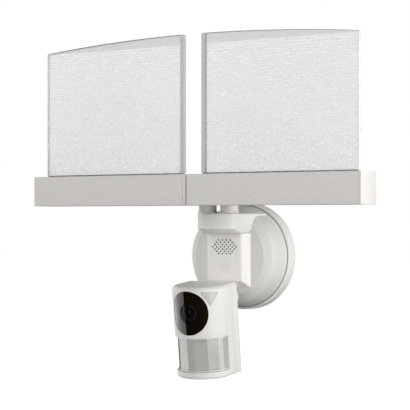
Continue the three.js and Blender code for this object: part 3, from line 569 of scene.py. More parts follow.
AXIS = (0, 0)  # the round base is turned about the world's Y axis
BASE_LOW, BASE_HIGH = box_mm("base_plate")
DISH_LOW, DISH_HIGH = box_mm("base_cover")
BASE_R = BASE_HIGH.x
SEAM_R = DISH_HIGH.x
SEAM_Y = BASE_LOW.y
DISC_Y = DISH_LOW.y
DISC_R = 39.6
SHOULDER_Y = -31.0
SHOULDER_R = 48.5
DISH_WALL = 2.5
SHELL_WALL = 2.2
BASE_SCREW_X = 31.0
BASE_SCREW_HOLE_R = 2.2
SCREW_CLEAR_R = 1.8  # holes that the bars' and the head's screws pass through
COLUMN_SCREW = (19.8, -3.0)


def dish_flank(margin=0.0):
    """The dish from its seam, over the shoulder, to the edge of the flat disc."""
    steps = 10
    depth = SEAM_Y - SHOULDER_Y
    flank = [
        (SEAM_R - (SEAM_R - SHOULDER_R) * (i / steps) ** 1.5, SEAM_Y - depth * i / steps)
        for i in range(steps)
    ]
    shoulder = bezier((SHOULDER_R, SHOULDER_Y), (47.9, -34.6), (43.0, -36.4), (DISC_R, DISC_Y), 14)
    return [(radius + margin, y - margin) for radius, y in flank + shoulder]


def dish_tool(margin):
    """A solid that fills the dish, to trim what stands on it."""
    flank = dish_flank(margin)
    rear, front = flank[0][1] + 20, flank[-1][1]
    return turned("tool", [(0, rear), (flank[0][0], rear), *flank, (0, front)], "Y", AXIS, 160)


def build_base():
    web_back, web_front, web_hole = -5.0, -8.0, 24.0
    groove_inner, groove_outer, groove_floor = 49.1, 53.1, -2.0
    corner, seam = 1.1, 0.95
    rim = arc((BASE_R - corner, SEAM_Y + corner), corner, 0, -90, 6)
    profile = [
        (web_hole, web_back), (groove_inner - 0.9, web_back), (groove_inner - 0.9, BASE_HIGH.y),
        (groove_inner, BASE_HIGH.y), (groove_inner, groove_floor), (groove_outer, groove_floor),
        (groove_outer, BASE_HIGH.y), (BASE_R, BASE_HIGH.y), *rim, (SEAM_R + seam, SEAM_Y),
        (SEAM_R + seam, web_front), (web_hole, web_front),
    ]
    ring = turned("base_ring", profile, "Y", AXIS, 160)
    cut(ring, *rod_pair(BASE_SCREW_HOLE_R, BASE_SCREW_X, 0, -12, 2))
    soften(ring, 0.25, 2)
    fit_out(ring, "wall_base", CASING, "base_plate")


def build_dish():
    wire_hole, screw_hole = 16.5, 1.7
    outer = dish_flank()
    inner = [(radius - DISH_WALL, y + DISH_WALL * 0.6) for radius, y in outer[:-1]]
    inner.append((DISC_R - DISH_WALL, DISC_Y + DISH_WALL))
    rear = DISH_HIGH.y
    profile = [
        (SEAM_R, rear), *outer, (wire_hole, DISC_Y), (wire_hole, DISC_Y + DISH_WALL), *reversed(inner),
        (SEAM_R - DISH_WALL, rear),
    ]
    dish = turned("dish", profile, "Y", AXIS, 160)
    cut(dish, *rod_pair(screw_hole, *COLUMN_SCREW, -45, -30))
    fit_out(dish, "wall_base", DISH_SHADED_COPY, "base_cover", 24)


def build_gasket():
    low, high = box_mm("wall_gasket")
    inner, outer = 49.4, high.x
    lip = arc(((inner + outer) / 2, low.y + 0.5), (outer - inner) / 2 - 0.1, 0, -180, 8, 0.5 / 1.6)
    ring = turned("foam_gasket", [(outer, high.y), *lip, (inner, high.y)], "Y", AXIS, 160)
    fit_out(ring, "wall_base", SEAL, "wall_gasket")


def build_bracket():
    low, high = box_mm("wall_bracket")
    strap = slab("crossbar", rounded_outline((low.x, low.z), (high.x, high.z), 3), "Y", high.y, low.y)
    slot_x, slot_half = 40.0, (3.5, 2.3)
    tools = []
    for side in (-1, 1):
        start = (side * slot_x - slot_half[0], -slot_half[1])
        end = (side * slot_x + slot_half[0], slot_half[1])
        tools.append(slab("tool", rounded_outline(start, end, slot_half[1] - 0.05), "Y", 2, -5))
        tools.append(rod("tool", BASE_SCREW_HOLE_R, "Y", (side * BASE_SCREW_X, 0), -5, 2))
    cut(strap, *tools)
    soften(strap, 0.3, 2)
    fit_out(strap, "wall_base", STEEL, "wall_bracket")


def pan_screw(name, body, node, seat, tip, centre, shank_r, head_r, head_height, to_row=None):
    """A pan-head screw along Y with a domed head, a cross recess and a threaded shank."""
    out = 1 if seat > tip else -1
    top = seat + out * head_height
    dome = [
        (head_r, seat),
        (head_r, seat + out * head_height * 0.45),
        (head_r * 0.93, seat + out * head_height * 0.75),
        (head_r * 0.7, seat + out * head_height * 0.94),
        (0, top),
    ]
    pitch = 0.8
    turns = int(abs(seat - tip) / pitch)
    thread = []
    for i in range(turns):
        near = tip + out * pitch * i
        thread += [(shank_r * 0.82, near), (shank_r, near + out * pitch / 2)]
    profile = [(0, tip), *thread, (shank_r * 0.82, seat - out * 0.02), (head_r, seat), *dome[1:]]
    screw = turned(name, profile, "Y", centre, 40, to_row)
    depth = head_height * 0.6
    arms = []
    for wide, high in ((head_r * 0.55, head_r * 0.13), (head_r * 0.13, head_r * 0.55)):
        low = (centre[0] - wide, min(top + out, top - out * depth), centre[1] - high)
        top_corner = (centre[0] + wide, max(top + out, top - out * depth), centre[1] + high)
        arms.append(block("tool", low, top_corner, to_row))
    cut(screw, *arms)
    fit_out(screw, body, STEEL, node, 32)


def build_base_screws():
    for name, side in SIDES.items():
        node = f"base_screw_{name}"
        low, high = box_mm(node)
        pan_screw(f"mount_{node}", "wall_base", node, low.y + 2.4, high.y, (side * BASE_SCREW_X, 0),
                  1.9, high.x - side * BASE_SCREW_X if side > 0 else 3.8, 2.4)


# ---------------- column

COLUMN_LOW, COLUMN_HIGH = box_mm("column_housing")
FRONT_Y = box_mm("push_button")[0].y
FRONT_X = 19.7
FOOT_X = 25.4
FRONT_LOW_Z = -24.0
FOOT_LOW_Z = -30.4
PAN_AXIS = joint_mm("camera_pan")
SOCKET_R = PAN_AXIS.y - COLUMN_LOW.y
SOCKET_LOW_Z = COLUMN_LOW.z
SOCKET_TOP_Z = -24.8
GRILLE_Z = 9.8
BUTTON_Z = -7.5


def column_solid(name, inset, top):
    """The column: a front face, with sides and an underside that spread towards the dish."""
    back = -30.0
    slope = (FOOT_X - FRONT_X) / (DISC_Y - FRONT_Y)
    drop = (FRONT_LOW_Z - FOOT_LOW_Z) / (DISC_Y - FRONT_Y)
    rings = []
    for y in (FRONT_Y + inset, back):
        half = FRONT_X + slope * (y - FRONT_Y) - inset
        low = FRONT_LOW_Z - drop * (y - FRONT_Y) + inset
        rings.append([Vector((x, y, z)) for x, z in ((-half, low), (half, low), (half, top), (-half, top))])
    return loft(name, rings)


def grille_places():
    rows = (4, 5, 6, 7, 6, 5, 4)
    pitch, row_step = 4.47, 2.26
    middle = (len(rows) - 1) / 2
    return [
        ((i - (count - 1) / 2) * pitch, GRILLE_Z + (middle - row) * row_step)
        for row, count in enumerate(rows)
        for i in range(count)
    ]


def many_rods(places, radius, start, end, steps):
    """One tool made of round rods along Y."""
    bm = bmesh.new()
    for x, z in places:
        near, far = (
            [bm.verts.new((x + radius * math.cos(a), y, z + radius * math.sin(a))) for a in circle(steps)]
            for y in (start, end)
        )
        bm.faces.new(near)
        bm.faces.new(far)
        for i in range(steps):
            j = (i + 1) % steps
            bm.faces.new((near[i], near[j], far[j], far[i]))
    return new_object("tool", bm)


def build_column():
    grille_hole_r, button_hole_r = 1.05, 6.45
    bore_r, nut_room_r, nut_room_depth = 4.3, 6.4, 4.2
    boss_r, pilot_r = 2.2, 1.2
    body = column_solid("column", 0, COLUMN_HIGH.z)
    round_edges(body, 1.6, 6, lambda a, b: max(a.y, b.y) < FRONT_Y + 0.1 and abs(a.z - b.z) > 10)
    round_edges(body, 1.4, 5, lambda a, b: max(a.y, b.y) < FRONT_Y + 3 and max(a.z, b.z) < FRONT_LOW_Z + 1)
    axis = (0, PAN_AXIS.y)
    arm = block("tool", (-SOCKET_R, PAN_AXIS.y, SOCKET_LOW_Z), (SOCKET_R, -40, SOCKET_TOP_Z))
    collar = rod("tool", SOCKET_R, "Z", axis, SOCKET_LOW_Z, SOCKET_TOP_Z, 96)
    cut(body, column_solid("tool", SHELL_WALL, COLUMN_HIGH.z + 10))
    join(body, arm, collar)
    join(body, *rod_pair(boss_r, *COLUMN_SCREW, -43.8, -38.5, 24))
    dish = dish_tool(GAP)
    bore = rod("tool", bore_r, "Z", axis, SOCKET_LOW_Z - 1, SOCKET_TOP_Z + 1)
    nut_room = rod("tool", nut_room_r, "Z", axis, SOCKET_TOP_Z - nut_room_depth, SOCKET_TOP_Z + 1)
    pilots = rod_pair(pilot_r, *COLUMN_SCREW, -43, -30, 24)
    inside = FRONT_Y + SHELL_WALL + 1
    button_hole = rod("tool", button_hole_r, "Y", (0, BUTTON_Z), FRONT_Y - 2, inside, 96)
    cut(body, dish, bore, nut_room, *pilots, button_hole)
    cut(body, many_rods(grille_places(), grille_hole_r, FRONT_Y - 2, inside, 14))
    fit_out(body, "wall_base", COLUMN_LIT_COPY, "column_housing", 24)


def build_button():
    low, high = box_mm("push_button")
    edge = 0.12
    profile = [
        (0, high.y), (1.6, high.y), (1.6, -44.9), (7.3, -44.9), (7.3, -45.4), (6.3, -45.4),
        *arc((6.3 - edge, low.y + edge), edge, 0, -90, 4), (4.6, low.y + 0.05), (0, low.y + 0.12),
    ]
    button = turned("reset_button", profile, "Y", (0, BUTTON_Z), 96)
    fit_out(button, "button", COLUMN_LIT_COPY, "push_button", 30)


def build_speaker():
    low, high = box_mm("speaker")
    cone_r = high.x
    profile = [
        (0, low.y + 0.9), (2.6, low.y + 0.5), (3.2, low.y + 1.1), (7.4, low.y + 0.4), (8.2, low.y),
        (8.9, low.y + 0.3), (cone_r, low.y + 0.6), (cone_r, low.y + 2.6), (6, low.y + 3.4), (6, high.y),
        (0, high.y),
    ]
    cone = turned("speaker_cone", profile, "Y", (0, GRILLE_Z), 72)
    fit_out(cone, "wall_base", BLACK, "speaker", 30)


def build_column_screws():
    x, z = COLUMN_SCREW
    for name, side in SIDES.items():
        node = f"column_screw_{name}"
        low, high = box_mm(node)
        pan_screw(f"shell_{node}", "wall_base", node, high.y - 1.8, low.y, (side * x, z), 1.1, 2.6, 1.8)


# ---------------- cap and clamp plate

CAP_LOW, CAP_HIGH = box_mm("column_cap")
CAP_R = 26.5
CAP_CENTRE_Y = CAP_LOW.y + CAP_R
CAP_SKIRT_Z = 27.8
CAP_BACK_Y = -18.0
CAP_TURN_IN = 6.0  # how far the skirt turns in
CAP_SIDES = ((21.0, 26.2), (19.9, 25.5))  # half-widths at the front crease and on the dish: top, skirt's foot
CAP_SIDE_END_Y = -38.0
SWIVEL = {name: joint_mm(f"{name}_swivel") for name in SIDES}
TILT = {name: joint_mm(f"{name}_tilt") for name in SIDES}
STEM_R = 4.6


def cap_ring(inset, turn_in, z):
    """The cap's plan: a round front, blended into flat sides that spread towards the dish."""
    radius = CAP_R - inset - turn_in
    share = turn_in / CAP_TURN_IN
    crease_x, end_x = (
        top + (foot - top) * share - inset for top, foot in zip(*CAP_SIDES)
    )
    crease = Vector((crease_x, CAP_CENTRE_Y - math.sqrt(radius ** 2 - crease_x ** 2)))
    along = (Vector((end_x, CAP_SIDE_END_Y)) - crease).normalized()
    blend = 2.6
    reach = math.asin(crease_x / radius) - blend / radius
    steps = 48
    half = [
        Vector((radius * math.sin(reach * i / steps), CAP_CENTRE_Y - radius * math.cos(reach * i / steps)))
        for i in range(steps + 1)
    ]
    start, end = half[-1], crease + along * blend
    half += bend(start, crease, end, 5)[1:]
    half.append(crease + along * (CAP_BACK_Y - crease.y) / along.y)
    mirrored = [Vector((-point.x, point.y)) for point in reversed(half[1:])]
    return [Vector((point.x, point.y, z)) for point in mirrored + half]


def cap_solid(name, inset, top, edge=0.0):
    """The cap over a skirt that turns inward, as the column's sides do."""
    levels = [(inset, CAP_TURN_IN, CAP_LOW.z + inset), (inset, 0.0, CAP_SKIRT_Z + inset / 2)]
    if edge:
        levels += [
            (inset + edge * (1 - math.cos(a)), 0.0, top - edge * (1 - math.sin(a)))
            for a in quarter(5)
        ]
    else:
        levels.append((inset, 0.0, top))
    return loft(name, [cap_ring(*level) for level in levels])


def stem_holes(low, high, steps):
    return [rod("tool", STEM_R + GAP, "Z", (axis.x, axis.y), low, high, steps) for axis in SWIVEL.values()]


def build_cap():
    ceiling = CAP_HIGH.z - 2.7
    cap = cap_solid("cap", 0, CAP_HIGH.z, 0.6)
    stems = stem_holes(30, CAP_HIGH.z + 2, 64)
    cable_way = block("tool", (-14, -46.5, CAP_LOW.z - 1), (14, -20, CAP_SKIRT_Z + 4))
    cut(cap, cap_solid("tool", SHELL_WALL, ceiling), cable_way, dish_tool(GAP), *stems)
    fit_out(cap, "wall_base", CASING, "column_cap", 30)

    low, high = box_mm("swivel_clamp_plate")
    outline = [(point.x, point.y) for point in cap_ring(SHELL_WALL + 1.5, 0.0, 0.0)]
    plate = slab("clamp_plate", outline, "Z", low.z, high.z)
    cut(plate, block("tool", (-40, high.y, low.z - 1), (40, 0, high.z + 1)))
    cut(plate, *stem_holes(low.z - 1, high.z + 1, 48))
    soften(plate, 0.25, 2)
    fit_out(plate, "wall_base", STEEL, "swivel_clamp_plate")


# ---------------- swivel posts

EAR_R = 6.5
EAR_OUT = 8.4
LUG_HALF = 4.0
LUG_R = 6.0
PIN_R = 2.0
PIN_HEAD_R = 3.6


def hex_nut(name, body, node, radius, centre, hole_r, edge):
    low, high = box_mm(node)
    nut = rod(name, radius, "Z", centre, low.z, high.z, 6)
    cut(nut, rod("tool", hole_r, "Z", centre, low.z - 1, high.z + 1, 48))
    soften(nut, edge, 2)
    fit_out(nut, body, STEEL, node)


def build_post(name):
    node = f"swivel_post_{name}"
    low, high = box_mm(node)
    axis, tilt = SWIVEL[name], TILT[name]
    foot = CAP_HIGH.z + GAP
    foot_r, shaft_r = 9.9, 8.9
    rim, flare_end = foot + 0.9, foot + 4.2
    flare = bezier((foot_r, rim), (shaft_r + 0.3, rim + 0.5), (shaft_r, rim + 1.5), (shaft_r, flare_end), 10)
    top_edge = arc((shaft_r - 1.2, high.z - 1.2), 1.2, 0, 90, 5)
    profile = [
        (0, low.z), (STEM_R - 0.5, low.z), (STEM_R, low.z + 0.6), (STEM_R, foot), (foot_r - 0.2, foot),
        (foot_r, foot + 0.2), *flare, *top_edge, (0, high.z),
    ]
    post = turned(f"post_{name}", profile, "Z", (axis.x, axis.y), 96)
    for end in (-1, 1):
        near, far = axis.x + end * (LUG_HALF + GAP), axis.x + end * EAR_OUT
        outline = [
            (axis.y - 2, tilt.z + EAR_R), *arc((tilt.y, tilt.z), EAR_R, 90, 270, 28),
            (axis.y - 2, tilt.z - EAR_R),
        ]
        ear = slab("tool", outline, "X", min(near, far), max(near, far))
        soften(ear, 0.5, 3, 60)
        join(post, ear)
    cut(post, rod("tool", PIN_R + GAP, "X", (tilt.y, tilt.z), axis.x - 12, axis.x + 12, 40))
    fit_out(post, f"post_{name}", CASING, node, 30)


def build_post_fittings(name, side):
    """The tilt pin through a post's ears, and the nut on its stem."""
    node = f"tilt_pin_{name}"
    low, high = box_mm(node)
    axis, tilt = SWIVEL[name], TILT[name]
    half = (high.x - low.x) / 2
    head_in, edge = EAR_OUT + GAP, 0.3
    head_r = PIN_HEAD_R
    profile = [(0, -half), (head_r - edge, -half), (head_r, -half + edge)]
    profile += [(head_r, -head_in), (PIN_R, -head_in)]
    profile += [(r, -x) for r, x in reversed(profile)]
    to_row = Matrix.Translation((axis.x, tilt.y, tilt.z)) @ Matrix.Rotation(math.pi / 2, 4, "Y")
    pin = turned(f"pin_{name}", profile, "Z", AXIS, 48, to_row)
    key = rod("tool", 1.5, "X", (tilt.y, tilt.z), axis.x + half - 0.9, axis.x + half + 1, 6)
    cut(pin, key)
    fit_out(pin, f"post_{name}", STEEL, node, 30)

    node = f"swivel_nut_{name}"
    radius = inner_outer(node, side)[1] - abs(axis.x)
    hex_nut(f"nut_{name}", f"post_{name}", node, radius, (axis.x, axis.y), STEM_R + GAP, 0.3)


# ---------------- light bars

BAR_WALL = 2.0
PANEL_Y = -104.5
SLOT_FRONT, SLOT_BACK = -107.9, -101.1
SLOT_INNER, SLOT_OUTER = 7.9, 178.3
BOSS_TIP_Y = -96.1


def inner_outer(node, side):
    """How far a node's inner and outer ends are from the middle."""
    low, high = box_mm(node)
    return (low.x, high.x) if side > 0 else (-high.x, -low.x)


def bar_screws(name):
    """Each screw of a bar by its end: its place (x, z), and the depth of its tip."""
    screws = {}
    for end in ("inner", "outer"):
        low, high = box_mm(f"bar_screw_{end}_{name}")
        screws[end] = ((low.x + high.x) / 2, (low.z + high.z) / 2), low.y
    return screws


def side_block(side, inner, outer, low, high):
    """A box from its distances to the middle, and its low and high (y, z)."""
    left, right = sorted((side * inner, side * outer))
    return block("tool", (left, low[0], low[1]), (right, high[0], high[1]))


def rounded_bar(name, left, right, low, high):
    """A bar along X, between a low and a high (y, z), with its long edges rounded."""
    return slab(name, rounded_outline(low, high, 0.7, 4), "X", left, right)


def build_bar(name, side):
    node = f"bar_housing_{name}"
    low, high = box_mm(node)
    inner, outer = inner_outer(node, side)
    hair = GAP - 0.06
    ends = sorted((side * (inner - (hair if side > 0 else 0)), side * (outer + hair)))
    housing = rounded_bar(f"bar_{name}", *ends, (low.y, low.z), (high.y, high.z))
    hollow = side_block(
        side, inner - 1, outer + 1,
        (low.y + BAR_WALL, low.z + BAR_WALL), (high.y + 1, high.z - BAR_WALL),
    )
    opening = side_block(
        side, SLOT_INNER, SLOT_OUTER, (SLOT_FRONT, high.z - BAR_WALL - 1), (SLOT_BACK, high.z + 1)
    )
    cut(housing, hollow, opening)
    boss_half, boss_foot, pilot_r = 4, 70, 1.25
    screws = bar_screws(name)
    for place, _ in screws.values():
        x = place[0]
        low_corner = (x - boss_half, BOSS_TIP_Y, boss_foot)
        high_corner = (x + boss_half, high.y - BAR_WALL - GAP, high.z - BAR_WALL + 0.5)
        join(housing, block("tool", low_corner, high_corner))
        cut(housing, rod("tool", pilot_r, "Y", place, BOSS_TIP_Y - 1, high.y + 5, 24))
    soften(housing, 0.06, 1, 60)
    fit_out(housing, f"light_{name}", BAR_SHADED_COPY, node, 32)

    for end, (place, tip) in screws.items():
        screw = f"bar_screw_{end}_{name}"
        pan_screw(f"{end}_screw_{name}", f"light_{name}", screw, high.y + GAP, tip, place, 1.15, 2.9, 1.6)


def build_bar_back(name, side):
    node = f"bar_back_{name}"
    low, high = box_mm(node)
    bar_rear = box_mm(f"bar_housing_{name}")[1].y
    inner, outer = inner_outer(node, side)
    tilt = TILT[name]
    plate = side_block(side, inner, outer, (low.y, low.z), (bar_rear, high.z))
    plate.name = f"back_plate_{name}"
    corners = (bar_rear - 0.5, low.z + 4.5), (bar_rear + 1, high.z - 9.5)
    recess = side_block(side, inner + 26, outer - 8, *corners)
    soften(recess, 1.6, 4)
    cut(plate, recess)
    outline = [
        (low.y, tilt.z + LUG_R), (low.y, tilt.z - LUG_R), *arc((tilt.y, tilt.z), LUG_R, -90, 90, 28),
    ]
    lug = slab("tool", outline, "X", tilt.x - LUG_HALF, tilt.x + LUG_HALF)
    join(plate, lug)
    cut(plate, rod("tool", PIN_R + GAP, "X", (tilt.y, tilt.z), tilt.x - 6, tilt.x + 6, 40))
    for place, _ in bar_screws(name).values():
        cut(plate, rod("tool", SCREW_CLEAR_R, "Y", place, BOSS_TIP_Y - 1, bar_rear + 5, 32))
    soften(plate, 0.3, 2, 40)
    fit_out(plate, f"light_{name}", BAR_SHADED_COPY, node, 32)


def build_end_caps(name):
    for end in ("inner", "outer"):
        node = f"{end}_end_cap_{name}"
        low, high = box_mm(node)
        cap = rounded_bar(f"{end}_cap_{name}", low.x, high.x, (low.y, low.z), (high.y, high.z))
        soften(cap, 0.12, 2, 50)
        fit_out(cap, f"light_{name}", BAR_SHADED_COPY, node, 32)


def build_leds(name):
    node = f"led_strip_{name}"
    low, high = box_mm(node)
    count, half = 16, 1.6
    board_top = 67.8
    strip = block(f"led_board_{name}", (low.x, low.y, low.z), (high.x, high.y, board_top))
    pitch = (high.x - low.x - 10) / (count - 1)
    for i in range(count):
        x = low.x + 5 + i * pitch
        foot = board_top - 0.3
        emitter = block("tool", (x - half, PANEL_Y - half, foot), (x + half, PANEL_Y + half, high.z))
        soften(emitter, 0.25, 2)
        join(strip, emitter)
    fit_out(strip, f"light_{name}", LED_BOARD, node)


def build_heat_sink(name):
    node = f"heat_sink_{name}"
    low, high = box_mm(node)
    fin_base, fin_half, fin_count, margin = 62.8, 0.8, 5, 1.5
    fin_step = (high.y - low.y - 2 * margin) / fin_count
    section = [(low.y, high.z), (low.y, fin_base)]
    for i in range(fin_count):
        y = low.y + margin + (i + 0.5) * fin_step - fin_half
        section += [
            (y - fin_half, fin_base), (y - fin_half * 0.6, low.z + 0.4), (y, low.z),
            (y + fin_half * 0.6, low.z + 0.4), (y + fin_half, fin_base),
        ]
    section += [(high.y, fin_base), (high.y, high.z)]
    sink = slab(f"finned_sink_{name}", section, "X", low.x, high.x)
    fit_out(sink, f"light_{name}", ALUMINIUM, node)


def build_seal_and_shade_lip(name, side):
    node = f"slot_gasket_{name}"
    low, high = box_mm(node)
    inner, outer = inner_outer(node, side)
    lip = rounded_outline((side * inner, low.y), (side * outer, high.y), 0)
    gasket = slab(f"seal_and_shade_lip_{name}", lip, "Z", low.z, high.z)
    panel_low, panel_high = box_mm(f"light_panel_{name}")
    panel_in, panel_out = inner_outer(f"light_panel_{name}", side)
    low_corner = (panel_low.y - GAP, low.z - 1)
    high_corner = (panel_high.y + GAP, high.z + 1)
    cut(gasket, side_block(side, panel_in - GAP, panel_out + GAP, low_corner, high_corner))
    # the seal in the slot is real; its dark lip above the bar top, kept only along the panel, is painted
    # shade at the panel's foot
    bar_top = box_mm(f"bar_housing_{name}")[1].z
    for start, end in ((inner - 1, panel_in + 1), (panel_out - 1, outer + 1)):
        cut(gasket, side_block(side, start, end, (low.y - 1, bar_top), (high.y + 1, high.z + 1)))
    soften(gasket, 0.2, 2)
    fit_out(gasket, f"light_{name}", SEAL, node)


# ---------------- light panels

APEX_Z = 214.6
ARC_R = 1750.0
FRAME_WEB = 0.7


def arc_z(x, inset=0.0):
    """Height of the panels' shared top arc, lowered by an inset."""
    radius = ARC_R - inset
    return APEX_Z - ARC_R + math.sqrt(radius * radius - x * x)


def panel_solid(name, side, inner, outer, low, top_inset, back, front, corner=0.0):
    steps = 28
    top_outer = outer - corner
    top_inner = inner + corner
    span = [top_outer + (top_inner - top_outer) * i / steps for i in range(steps + 1)]
    outline = [(side * inner, low), (side * outer, low)]
    if corner:
        z = arc_z(outer, top_inset) - corner
        outline += [(side * x, y) for x, y in arc((outer - corner, z), corner, 0, 90, 5)[:-1]]
    outline += [(side * x, arc_z(x, top_inset)) for x in span]
    if corner:
        z = arc_z(inner, top_inset) - corner
        outline += [(side * x, y) for x, y in arc((inner + corner, z), corner, 90, 180, 5)[1:]]
    return slab(name, outline, "Y", back, front)


def build_panel(name, side):
    node = f"light_panel_{name}"
    low, high = box_mm(node)
    inner, outer = inner_outer(node, side)
    inset = FRAME_WEB + GAP
    panel = panel_solid(f"panel_{name}", side, inner, outer, low.z, inset, high.y, low.y, 0.6)
    soften(panel, 0.2, 2, 50)
    fit_out(panel, f"light_{name}", ACRYLIC, node, 32)

    node = f"panel_frame_{name}"
    low, high = box_mm(node)
    inner, outer = inner_outer(node, side)
    strip_inner, strip_outer, strip_top = 4.2, 0.5, 0.5
    frame = panel_solid(f"trim_{name}", side, inner, outer, low.z, 0.0, high.y, low.y, 1.3)
    groove_half = (box_mm(f"light_panel_{name}")[1].y - PANEL_Y) + GAP
    view = panel_solid("tool", side, inner + strip_inner, outer - strip_outer, low.z - 5, strip_top,
                       PANEL_Y + 10, PANEL_Y - 10)
    groove = panel_solid("tool", side, inner + FRAME_WEB, outer - FRAME_WEB, low.z - 5, FRAME_WEB,
                         PANEL_Y + groove_half, PANEL_Y - groove_half)
    cut(frame, view, groove)
    soften(frame, 0.1, 2, 50)
    fit_out(frame, f"light_{name}", TRIM, node, 32)


# ---------------- camera neck

BARREL_R = 5.2
BARREL_HALF = 8.0


def build_neck():
    low, high = box_mm("camera_neck")
    y, z = PAN_AXIS.y, PAN_AXIS.z
    stub_r, flange_r = 4.0, 7.6
    flange_low, flange_high = SOCKET_LOW_Z - 2, SOCKET_LOW_Z - GAP
    flare = bezier((stub_r + 1.2, z + 2), (stub_r + 1.2, flange_low - 1), (stub_r + 2, flange_low),
                   (flange_r, flange_low + 0.2), 8)
    profile = [
        (0, z), (stub_r + 1.2, z), *flare, (flange_r, flange_high - 0.3), (flange_r - 0.3, flange_high),
        (stub_r, flange_high), (stub_r, high.z - 0.4), (stub_r - 0.4, high.z), (0, high.z),
    ]
    post = turned("neck_post", profile, "Z", (0, y), 64)
    barrel = rod("tool", BARREL_R, "X", (y, z), -BARREL_HALF, BARREL_HALF, 64)
    soften(barrel, 0.5, 3)
    join(post, barrel)
    cut(post, rod("tool", PIN_R + GAP, "X", (y, z), -12, 12, 40))
    fit_out(post, "neck", CASING, "camera_neck", 32)

    low, high = box_mm("neck_nut")
    hex_nut("hex_nut", "neck", "neck_nut", (high.y - low.y) / 2, (0, y), stub_r + GAP, 0.25)


# ---------------- camera head

HEAD_W = 28.0
HEAD_ARC_R = 28.5
HEAD_FRONT = -61.0
HEAD_SPLIT = -21.3
HEAD_BACK = -12.3
HEAD_TOP = 17.7
HEAD_LOW = -70.3
TOP_EDGE = 2.6
CHAMFER = ((0, 1), (0.03, 0.9), (0.12, 0.78), (0.78, 0.12), (0.9, 0.03), (1, 0))  # shares across and down
LOW_EDGE = 2.0
COVER_GAP = 0.1
SCREW_Z = -50.0
EAR_OUTER_X = 18.5
WINDOW_Z = -6.3
WINDOW_R = 21.3  # measured along the curved front
WINDOW_INSET = 0.2  # how far the windows' faces lie behind the shell's
THROUGH_FRONT = (HEAD_FRONT - 5, HEAD_FRONT + 30)
CORNER_WINDOW = ((13.2, 14.0), (26.3, 13.0), (20.7, 0.0))
CORNER_CENTRE = (20.1, 9.0)
PLUG_Y = -53.0
PLUG_R = 2.0
PIR_TOP, PIR_LOW = -30.8, -63.8
PIR_WRAP = -34.3
PIR_INSET = 2.2
PIR_WALL = 1.2
PIR_LIP, PIR_LIP_PROUD = 1.6, 0.6
PIR_FACETS = (3.9, 15.9, 23.0, 25.2)  # where the faceted film bends, mirrored on both sides
LENS_Y = HEAD_FRONT + 3


def head_ring(inset, z, back, steps=72):
    """The head's plan: a curved front between straight sides, drawn in by an inset."""
    half, radius = HEAD_W - inset, HEAD_ARC_R - inset
    centre = HEAD_FRONT + HEAD_ARC_R
    reach = math.asin(half / radius)
    ring = [Vector((-half, back, z)), Vector((half, back, z))]
    for i in range(steps + 1):
        angle = reach - 2 * reach * i / steps
        ring.append(Vector((radius * math.sin(angle), centre - radius * math.cos(angle), z)))
    return ring


def head_solid(name, inset, low, high, back, top_edge=0.0, low_edge=0.0, steps=72):
    """The head's solid, with a flat chamfer of top_edge above and a round edge of low_edge below."""
    levels = [(inset, low)]
    if low_edge:
        levels = [
            (inset + low_edge * (1 - math.sin(a)), low + low_edge * (1 - math.cos(a)))
            for a in quarter(5)
        ]
    if top_edge:
        levels += [(inset + top_edge * across, high - top_edge * down) for across, down in CHAMFER]
    else:
        levels.append((inset, high))
    return loft(name, [head_ring(extra, z, back, steps) for extra, z in levels], HEAD_TO_ROW)


def head_room(back):
    """The space inside the head's walls."""
    return head_solid("tool", SHELL_WALL, HEAD_LOW + SHELL_WALL, HEAD_TOP - SHELL_WALL, back)


def rounded_triangle(corners, radius, scale):
    """A triangle with round corners, scaled about its middle."""
    points = [
        Vector([CORNER_CENTRE[i] + scale * (corner[i] - CORNER_CENTRE[i]) for i in range(2)])
        for corner in corners
    ]
    outline = []
    for i, corner in enumerate(points):
        before = (points[i - 1] - corner).normalized()
        after = (points[(i + 1) % 3] - corner).normalized()
        reach = radius / math.tan(before.angle(after) / 2)
        start, end = corner + before * reach, corner + after * reach
        outline += bend(start, corner, end, 6)
    return outline


def corner_tool(side, scale=1.0):
    """A solid whose outline is a corner window's, scaled to fit in its opening."""
    outline = [(side * x, z) for x, z in rounded_triangle(CORNER_WINDOW, 1.2, scale)]
    return slab("tool", outline, "Y", *THROUGH_FRONT, HEAD_TO_ROW)


def window_tool(radius):
    """A solid whose outline is a circle wrapped on the curved front."""
    outline = [
        (HEAD_ARC_R * math.sin(radius * math.cos(a) / HEAD_ARC_R), WINDOW_Z + radius * math.sin(a))
        for a in circle(128)
    ]
    return slab("tool", outline, "Y", *THROUGH_FRONT, HEAD_TO_ROW)


def build_head_front():
    shell = head_solid("head_shell", 0, HEAD_LOW, HEAD_TOP, HEAD_SPLIT, TOP_EDGE, LOW_EDGE)
    hollow = head_room(HEAD_SPLIT + 5)
    window = window_tool(WINDOW_R)
    band = block("tool", (-40, -90, PIR_LOW), (40, PIR_WRAP, PIR_TOP), HEAD_TO_ROW)
    plug_hole = rod("tool", PLUG_R + GAP, "Z", (0, PLUG_Y), HEAD_LOW - 2, HEAD_LOW + 4, 48, HEAD_TO_ROW)
    corners = [corner_tool(side) for side in (-1, 1)]
    cut(shell, hollow, window, band, plug_hole, *corners)
    soften(shell, 0.3, 3, 50)
    fit_out(shell, "camera", CASING, "head_front_shell", 30)


def rear_ring(inset, y):
    """The rear cover's outline seen from behind, drawn in by an inset."""
    half, top, low = HEAD_W - inset, HEAD_TOP - inset, HEAD_LOW + inset
    top_edge, low_edge = TOP_EDGE - inset, LOW_EDGE - inset
    right = [
        (half - low_edge * (1 - math.sin(a)), low + low_edge * (1 - math.cos(a)))
        for a in quarter(5)
    ]
    right += [(half - top_edge * across, top - top_edge * down) for across, down in CHAMFER]
    return [Vector((x, y, z)) for x, z in right] + [Vector((-x, y, z)) for x, z in reversed(right)]


